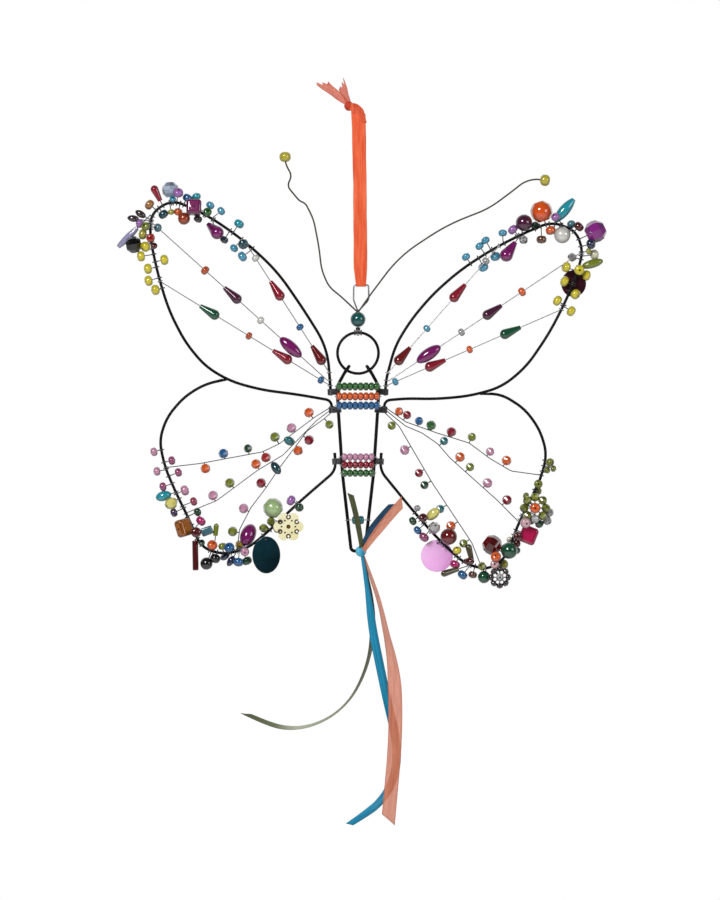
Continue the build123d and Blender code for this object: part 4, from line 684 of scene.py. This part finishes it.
glass = bead_finish("bead_glass", 0.8, 0.1, "C4C4C4", "FFFFFF", Specular_IOR_Level=0.9, Coat_Roughness=0.05)
lustre = bead_finish("bead_pearl", 0.92, 0.05, "C4C4C4", "FFFFFF", Specular_IOR_Level=0.9,
                     Coat_Roughness=0.12, Metallic=0.1)
cut = bead_finish("bead_crystal", 0.45, 0.85, "2C2C30", "FFFFFF", Specular_IOR_Level=0.6, Coat_Roughness=0.03,
                  Transmission_Weight=0.2)
GLASS_SHADES = {
    "lilac": "AE72C0", "sky": "4CA6C8", "blue": "1E66A2", "turquoise": "1FA3B4", "smoke": "3A2C30",
    "orange": "EE6420", "moss": "B9B23E", "petrol": "0F4652", "steel": "4E8898", "slate": "2E4258",
    "leaf": "2F6E2E", "lavender": "ACA8D0", "red": "B41E1A", "yellow": "E6D62A", "pink": "D996B8",
    "mauve": "A84E7C", "rose": "A83A58", "straw": "EEE67E", "aubergine": "44305A", "forest": "12482A",
    "magenta": "C41E72", "maroon": "5A0E12", "fog": "4A7484", "olive": "808C22", "navy": "1A2A50",
    "gold": "E6BE34", "mint": "B4D294", "tangerine": "F05A12", "cream": "F2EFD0", "bark": "6A4028",
    "terracotta": "C8562A", "blush": "E4B4BE", "khaki": "4C4220", "brass": "CDBE36", "lagoon": "12787E",
}
PEARL_SHADES = {
    "crimson": "A01430", "copper": "B87C44", "grape": "8A0E70", "rust": "B0421A", "white": "F2F0EA",
    "eggplant": "54163E", "jet": "101214", "emerald": "0A5A3A", "wine": "7C1014", "teal": "05605E",
}
CRYSTAL_SHADES = {
    "ice": "C2D2EA", "plum": "8A2E68", "black": "0A0E10", "amber": "BE6C14", "peridot": "98A03A",
    "clear": "D6D4D4", "violet": "9C2A98", "ruby": "8E0A16", "fuchsia": "D01A5C",
}
SHADES = {shade: (code, kind) for kind, group in enumerate((GLASS_SHADES, PEARL_SHADES, CRYSTAL_SHADES))
          for shade, code in group.items()}
POLISHED = ("tangerine", "mint")
TURNED_BEAD, TURNED_BY, TURNED_REACH = (215, 230), math.radians(-35.0), 3.0
CRISP_TURN = 0.36


def beads(name, body, shade_at, grow=1.0):
    """The node's beads as glass: each bead takes its own tint and finish, and cut edges stay crisp.
    Threaded loosely, one bead has turned on its pin, and the larger seeds crowd each other."""
    shape = bmesh.new()
    shape.from_mesh(nodes[name].data)
    bmesh.ops.remove_doubles(shape, verts=shape.verts, dist=MERGE)
    tints = shape.verts.layers.float_color.new("tint")
    facets = shape.faces.layers.float.new("facet")
    done, polished = set(), set()
    for start in shape.verts:
        if start in done:
            continue
        bead = joined(start)
        done.update(bead)
        low = Vector([min(corner.co[axis] for corner in bead) for axis in range(3)])
        high = Vector([max(corner.co[axis] for corner in bead) for axis in range(3)])
        middle = (low + high) / 2
        across, down = middle.x / PIXEL + BODY_ACROSS, HOOK_DOWN - middle.z / PIXEL
        shade = shade_at(across, down)
        colour, kind = SHADES[shade]
        if shade in POLISHED:
            polished.update(bead)
        bmesh.ops.scale(shape, vec=(grow, grow, grow), space=Matrix.Translation(-middle), verts=bead)
        if math.hypot(TURNED_BEAD[0] - across, TURNED_BEAD[1] - down) < TURNED_REACH:
            bmesh.ops.rotate(shape, cent=middle, matrix=Matrix.Rotation(TURNED_BY, 3, "Y"), verts=bead)
        for corner in bead:
            corner[tints] = tone(colour)
            for face in corner.link_faces:
                face.material_index = kind
    shape.normal_update()
    for face in shape.faces:
        face.smooth = True
        # Painted light: each facet's brightness is set by its direction, as if it caught the lamp.
        look = 3.1 * round(face.normal.x, 1) + 7.7 * round(face.normal.y, 1) + 5.3 * round(face.normal.z, 1)
        face[facets] = math.sin(look * 12.9) * 0.5 + 0.5
    for edge in shape.edges:
        crisp = len(edge.link_faces) == 2 and edge.calc_face_angle(0.0) >= CRISP_TURN
        edge.smooth = edge.verts[0] in polished or not crisp
    piece = new_piece(name + "_glass", shape, glass, lustre, cut)
    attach(piece, body)
    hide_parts(name)


# Head pearl and antenna tips: one teal pearl is threaded on the stem below the hanging eye,
# and a yellow glass bead is pushed on the tip of each antenna.
beads("head_pearl", "link", lambda x, y: "teal")
beads("antenna_tip_beads", "link", lambda x, y: "brass")

# Body rows: glass seed beads, threaded side by side on cross wires. The six rows pass in front
# of the two body wires, and the teal pair at the tail sits between them.
ROW_GROWTH = 1.04
BODY_ROWS = (("green_row", "leaf", "green_glass"), ("orange_row", "orange", "orange_glass"),
             ("blue_row", "blue", "blue_glass"), ("pink_row", "pink", "pink_glass"),
             ("crimson_row", "crimson", "crimson_glass"), ("lower_green_row", "leaf", "green_glass"),
             ("tail_pair", "lagoon", "teal_glass"))
for row_name, shade, slot in BODY_ROWS:
    beads(row_name, row_name, lambda x, y, shade=shade: shade, grow=ROW_GROWTH)

# Upper strings: three strings fan out over each upper wing, with drops, ovals and rounds on
# them, dark pearls between small glass.
STRING_SHADES = {
    "left_string_a_beads": {"wine": [(324.5, 365.7)], "blue": [(299, 336)], "crimson": [(268, 298.4)],
                            "white": [(242.4, 265)]},
    "left_string_b_beads": {"grape": [(297, 349.7)], "white": [(267.4, 323)], "eggplant": [(237, 294)],
                            "terracotta": [(208, 268)]},
    "left_string_c_beads": {"blue": [(327, 381)], "crimson": [(285, 355)], "terracotta": [(252, 335.7)],
                            "emerald": [(213, 310)]},
    "right_string_a_beads": {"wine": [(395, 367.5)], "sky": [(419.7, 341)], "crimson": [(451.6, 306.4)],
                             "clear": [(481, 278)]},
    "right_string_b_beads": {"grape": [(423.7, 356.3)], "clear": [(457, 329.6)], "eggplant": [(487, 309)],
                             "orange": [(516.7, 290)]},
    "right_string_c_beads": {"sky": [(391, 383)], "crimson": [(432.7, 367)], "orange": [(469, 348.6)],
                             "emerald": [(511, 332)]},
}
PLACE_REACH = 4.5


def nearest(places, plain=None):
    """Shade of the listed bead nearest to a pixel, or a plain shade, if given, where none is near."""
    def choose(across, down):
        gap, shade = min((math.hypot(x - across, y - down), shade)
                         for shade, spots in places.items() for x, y in spots)
        return plain if plain and gap > PLACE_REACH else shade
    return choose


for name, places in STRING_SHADES.items():
    beads(name, name, nearest(places))

# Edge and twig beads of the wings: each sits on its own pin or twig, and is listed by its glass
# at its place in the front view. The right wing has two bead flowers besides, of olive crystals
# and of smoky seeds, which take the plain shade of their group.
LEFT_PLACES = {
    "ice": [(170, 190)], "plum": [(194, 208)], "black": [(134, 245), (215, 558)], "rust": [(184, 218)],
    "amber": [(184, 527)], "mint": [(273, 508)], "grape": [(248, 535), (215, 230)],
    "crimson": [(156, 193), (309, 440), (261, 483)], "copper": [(149, 205)],
    "lilac": [(179, 193), (140, 224), (291, 500)],
    "sky": [(173, 199), (210, 205), (221, 211), (234, 248), (242, 256)],
    "blue": [(188, 198), (229, 547), (238, 562), (223, 453)],
    "turquoise": [(196, 196), (239, 224), (163, 496)], "smoke": [(198, 219), (133, 218), (141, 214)],
    "orange": [(178, 212), (212, 545), (309, 413), (205, 468), (256, 464), (298, 450)],
    "moss": [(171, 212), (143, 234)], "petrol": [(163, 214), (243, 244), (276, 468)],
    "steel": [(157, 227)], "slate": [(224, 240)], "leaf": [(208, 212)],
    "olive": [(146, 227), (216, 530), (223, 546), (275, 437), (230, 483), (329, 424), (233, 531)],
    "lavender": [(127, 237)], "red": [(151, 238), (266, 457)],
    "maroon": [(154, 246), (197, 532), (195, 555)],
    "yellow": [(145, 247), (141, 256), (164, 260), (148, 269), (149, 281), (155, 290)],
    "pink": [(154, 452), (157, 471), (185, 490), (245, 551), (291, 428), (213, 495), (243, 508)],
    "mauve": [(172, 460), (178, 472), (163, 487)], "rose": [(194, 501)], "straw": [(171, 503)],
    "aubergine": [(174, 513)], "forest": [(197, 512), (202, 543), (247, 561), (299, 507), (248, 448)],
    "magenta": [(201, 521)], "fog": [(207, 531)], "jet": [(206, 563)], "navy": [(224, 557), (231, 561)],
    "gold": [(239, 545)], "peridot": [(271, 521), (277, 529), (264, 528)], "lagoon": [(289, 441)],
}
RIGHT_PLACES = {
    "tangerine": [(541, 212)], "violet": [(595, 231)], "eggplant": [(524, 223)], "white": [(562, 235)],
    "ruby": [(492, 545)], "emerald": [(509, 550), (484, 577)], "wine": [(449, 536)],
    "fuchsia": [(528, 535)], "turquoise": [(564, 210)], "grape": [(509, 252)],
    "sky": [(466, 257), (485, 240), (479, 246), (495, 256), (483, 267), (503, 233)],
    "lilac": [(513, 230), (555, 217)],
    "forest": [(535, 225), (413, 521), (517, 551), (539, 524), (424, 485)],
    "clear": [(523, 240), (572, 257), (417, 508), (434, 528), (549, 512), (547, 521), (531, 521), (499, 577)],
    "bark": [(541, 239), (473, 575)],
    "orange": [(551, 231), (495, 556), (535, 508), (399, 411), (506, 460), (460, 457), (451, 526)],
    "steel": [(571, 224)], "maroon": [(579, 227), (423, 518), (469, 561), (517, 536), (517, 543)],
    "navy": [(591, 244)], "moss": [(589, 251), (503, 564)], "cream": [(595, 254), (510, 540)],
    "olive": [(592, 264), (470, 467), (472, 437), (392, 426), (463, 543)],
    "yellow": [(566, 267), (579, 270), (586, 275), (564, 281), (575, 294), (557, 301), (571, 311),
               (457, 550)],
    "straw": [(433, 514)], "blue": [(418, 530), (462, 575), (419, 421)], "mauve": [(424, 537)],
    "magenta": [(455, 564)], "khaki": [(470, 553), (449, 571)],
    "peridot": [(482, 566), (537, 491), (526, 496), (538, 484), (550, 462), (553, 469), (547, 470)],
    "blush": [(494, 564), (525, 523)], "crimson": [(407, 415), (451, 432), (507, 500), (419, 473)],
    "pink": [(490, 452), (487, 483), (405, 450)], "lagoon": [(444, 441), (440, 509)], "leaf": [(431, 425)],
}
GROUP_SLOTS = {"blue": "blue_glass", "violet": "violet_glass", "dark": "dark_glass", "orange": "orange_glass",
               "green": "green_glass", "red": "crimson_glass", "yellow": "yellow_glass",
               "crystal": "crystal_glass"}
PLAIN_SHADES = {"green": "peridot", "dark": "smoke", "orange": "orange"}
EDGE_GROWTH = 1.13
for wing, places in (("left", LEFT_PLACES), ("right", RIGHT_PLACES)):
    for group, slot in GROUP_SLOTS.items():
        name = wing + "_" + group + "_beads"
        if name in nodes:
            beads(name, wing + "_wing", nearest(places, PLAIN_SHADES.get(group)), grow=EDGE_GROWTH)

# Plates: a dark teal oval, a pink round, a plum oval and a cream flower, thin polished shell.
# Shell is cloudy with a deep gloss, and a painted gleam lightens it towards the upper left, where the lamp
# is;
# the flower's dots and its middle are brown gilt.
DISCS = (("left_teal_disc", (266.5, 554.7), 0.0078, "010B10", "0D3844"),
         ("right_pink_disc", (437.0, 556.0), 0.0068, "F2A4EC", "FFD0FB"),
         ("right_plum_disc", (574.0, 283.3), 0.0057, "1A050E", "5A2034"))
FLOWER_CENTRE, FLOWER_REACH = spot(288.6, 526.5), 0.0063
HALF_PETAL = math.pi / 6
FLOWER_DOTS = ((HALF_PETAL, 0.00405, 0.00105), (0.0, 0.0029, 0.0004), (0.0, 0.0, 0.0009))
GILT = "5E4418"


def flower_dots(growth, flat, upright):
    """Share of gilt on the flower: two rings of dots, and the middle."""
    reach = growth.sum("SQRT", flat * flat + upright * upright, 0.0)
    sector = growth.sum("PINGPONG", growth.sum("ARCTAN2", upright, flat) + math.pi, HALF_PETAL)
    ray = growth.node("CombineXYZ", X=reach * growth.sum("COSINE", sector, 0.0),
                      Y=reach * growth.sum("SINE", sector, 0.0))
    marks = 0.0
    for angle, far, size in FLOWER_DOTS:
        dot = (far * math.cos(angle), far * math.sin(angle), 0.0)
        gap = growth.node("VectorMath", {"operation": "DISTANCE"}, "Value", i0=ray, i1=dot)
        marks = (gap < size) + marks
    return growth.sum("MINIMUM", marks, 1.0)


def shell(name, dark, light, centre, reach, dots=None):
    """Polished shell, read from the middle of its plate, lighter to the upper left by a painted gleam, with
    gilt where it has dots.
    """
    material, growth, paint = new_finish(name, Specular_IOR_Level=0.3, Coat_Roughness=0.05)
    where = growth.node("Mapping", Vector=growth.own_place(), Location=tuple(-part for part in centre))
    flat = growth.node("SeparateXYZ", Vector=where)
    upright = flat.beside("Z")
    cloud = growth.node("TexNoise", Vector=where, Scale=260.0, Detail=4.0, Distortion=0.6)
    # Painted light: darker to the lower right and lighter to the upper left; the cloud is the shell's own
    # uneven tone.
    painted_gleam = (upright - flat) * (0.4 / reach) + 0.4
    colour = growth.blend(painted_gleam * 0.55 + cloud * 0.45, tone(dark), tone(light))
    if dots:
        colour = growth.blend(dots(growth, flat, upright), colour, tone(GILT))
    growth.feed(paint["Base Color"], colour)
    growth.feed(paint["Roughness"], 0.1 + cloud * 0.14)
    growth.feed(paint["Coat Weight"], 0.1 + cloud * 0.2)
    return material


for name, centre, reach, dark, light in DISCS:
    dress((name,), shell(name + "_shell", dark, light, spot(*centre), reach))
dress(("left_cream_flower",),
      shell("cream_flower_shell", "E6DFA6", "F8F5D8", FLOWER_CENTRE, FLOWER_REACH, flower_dots))
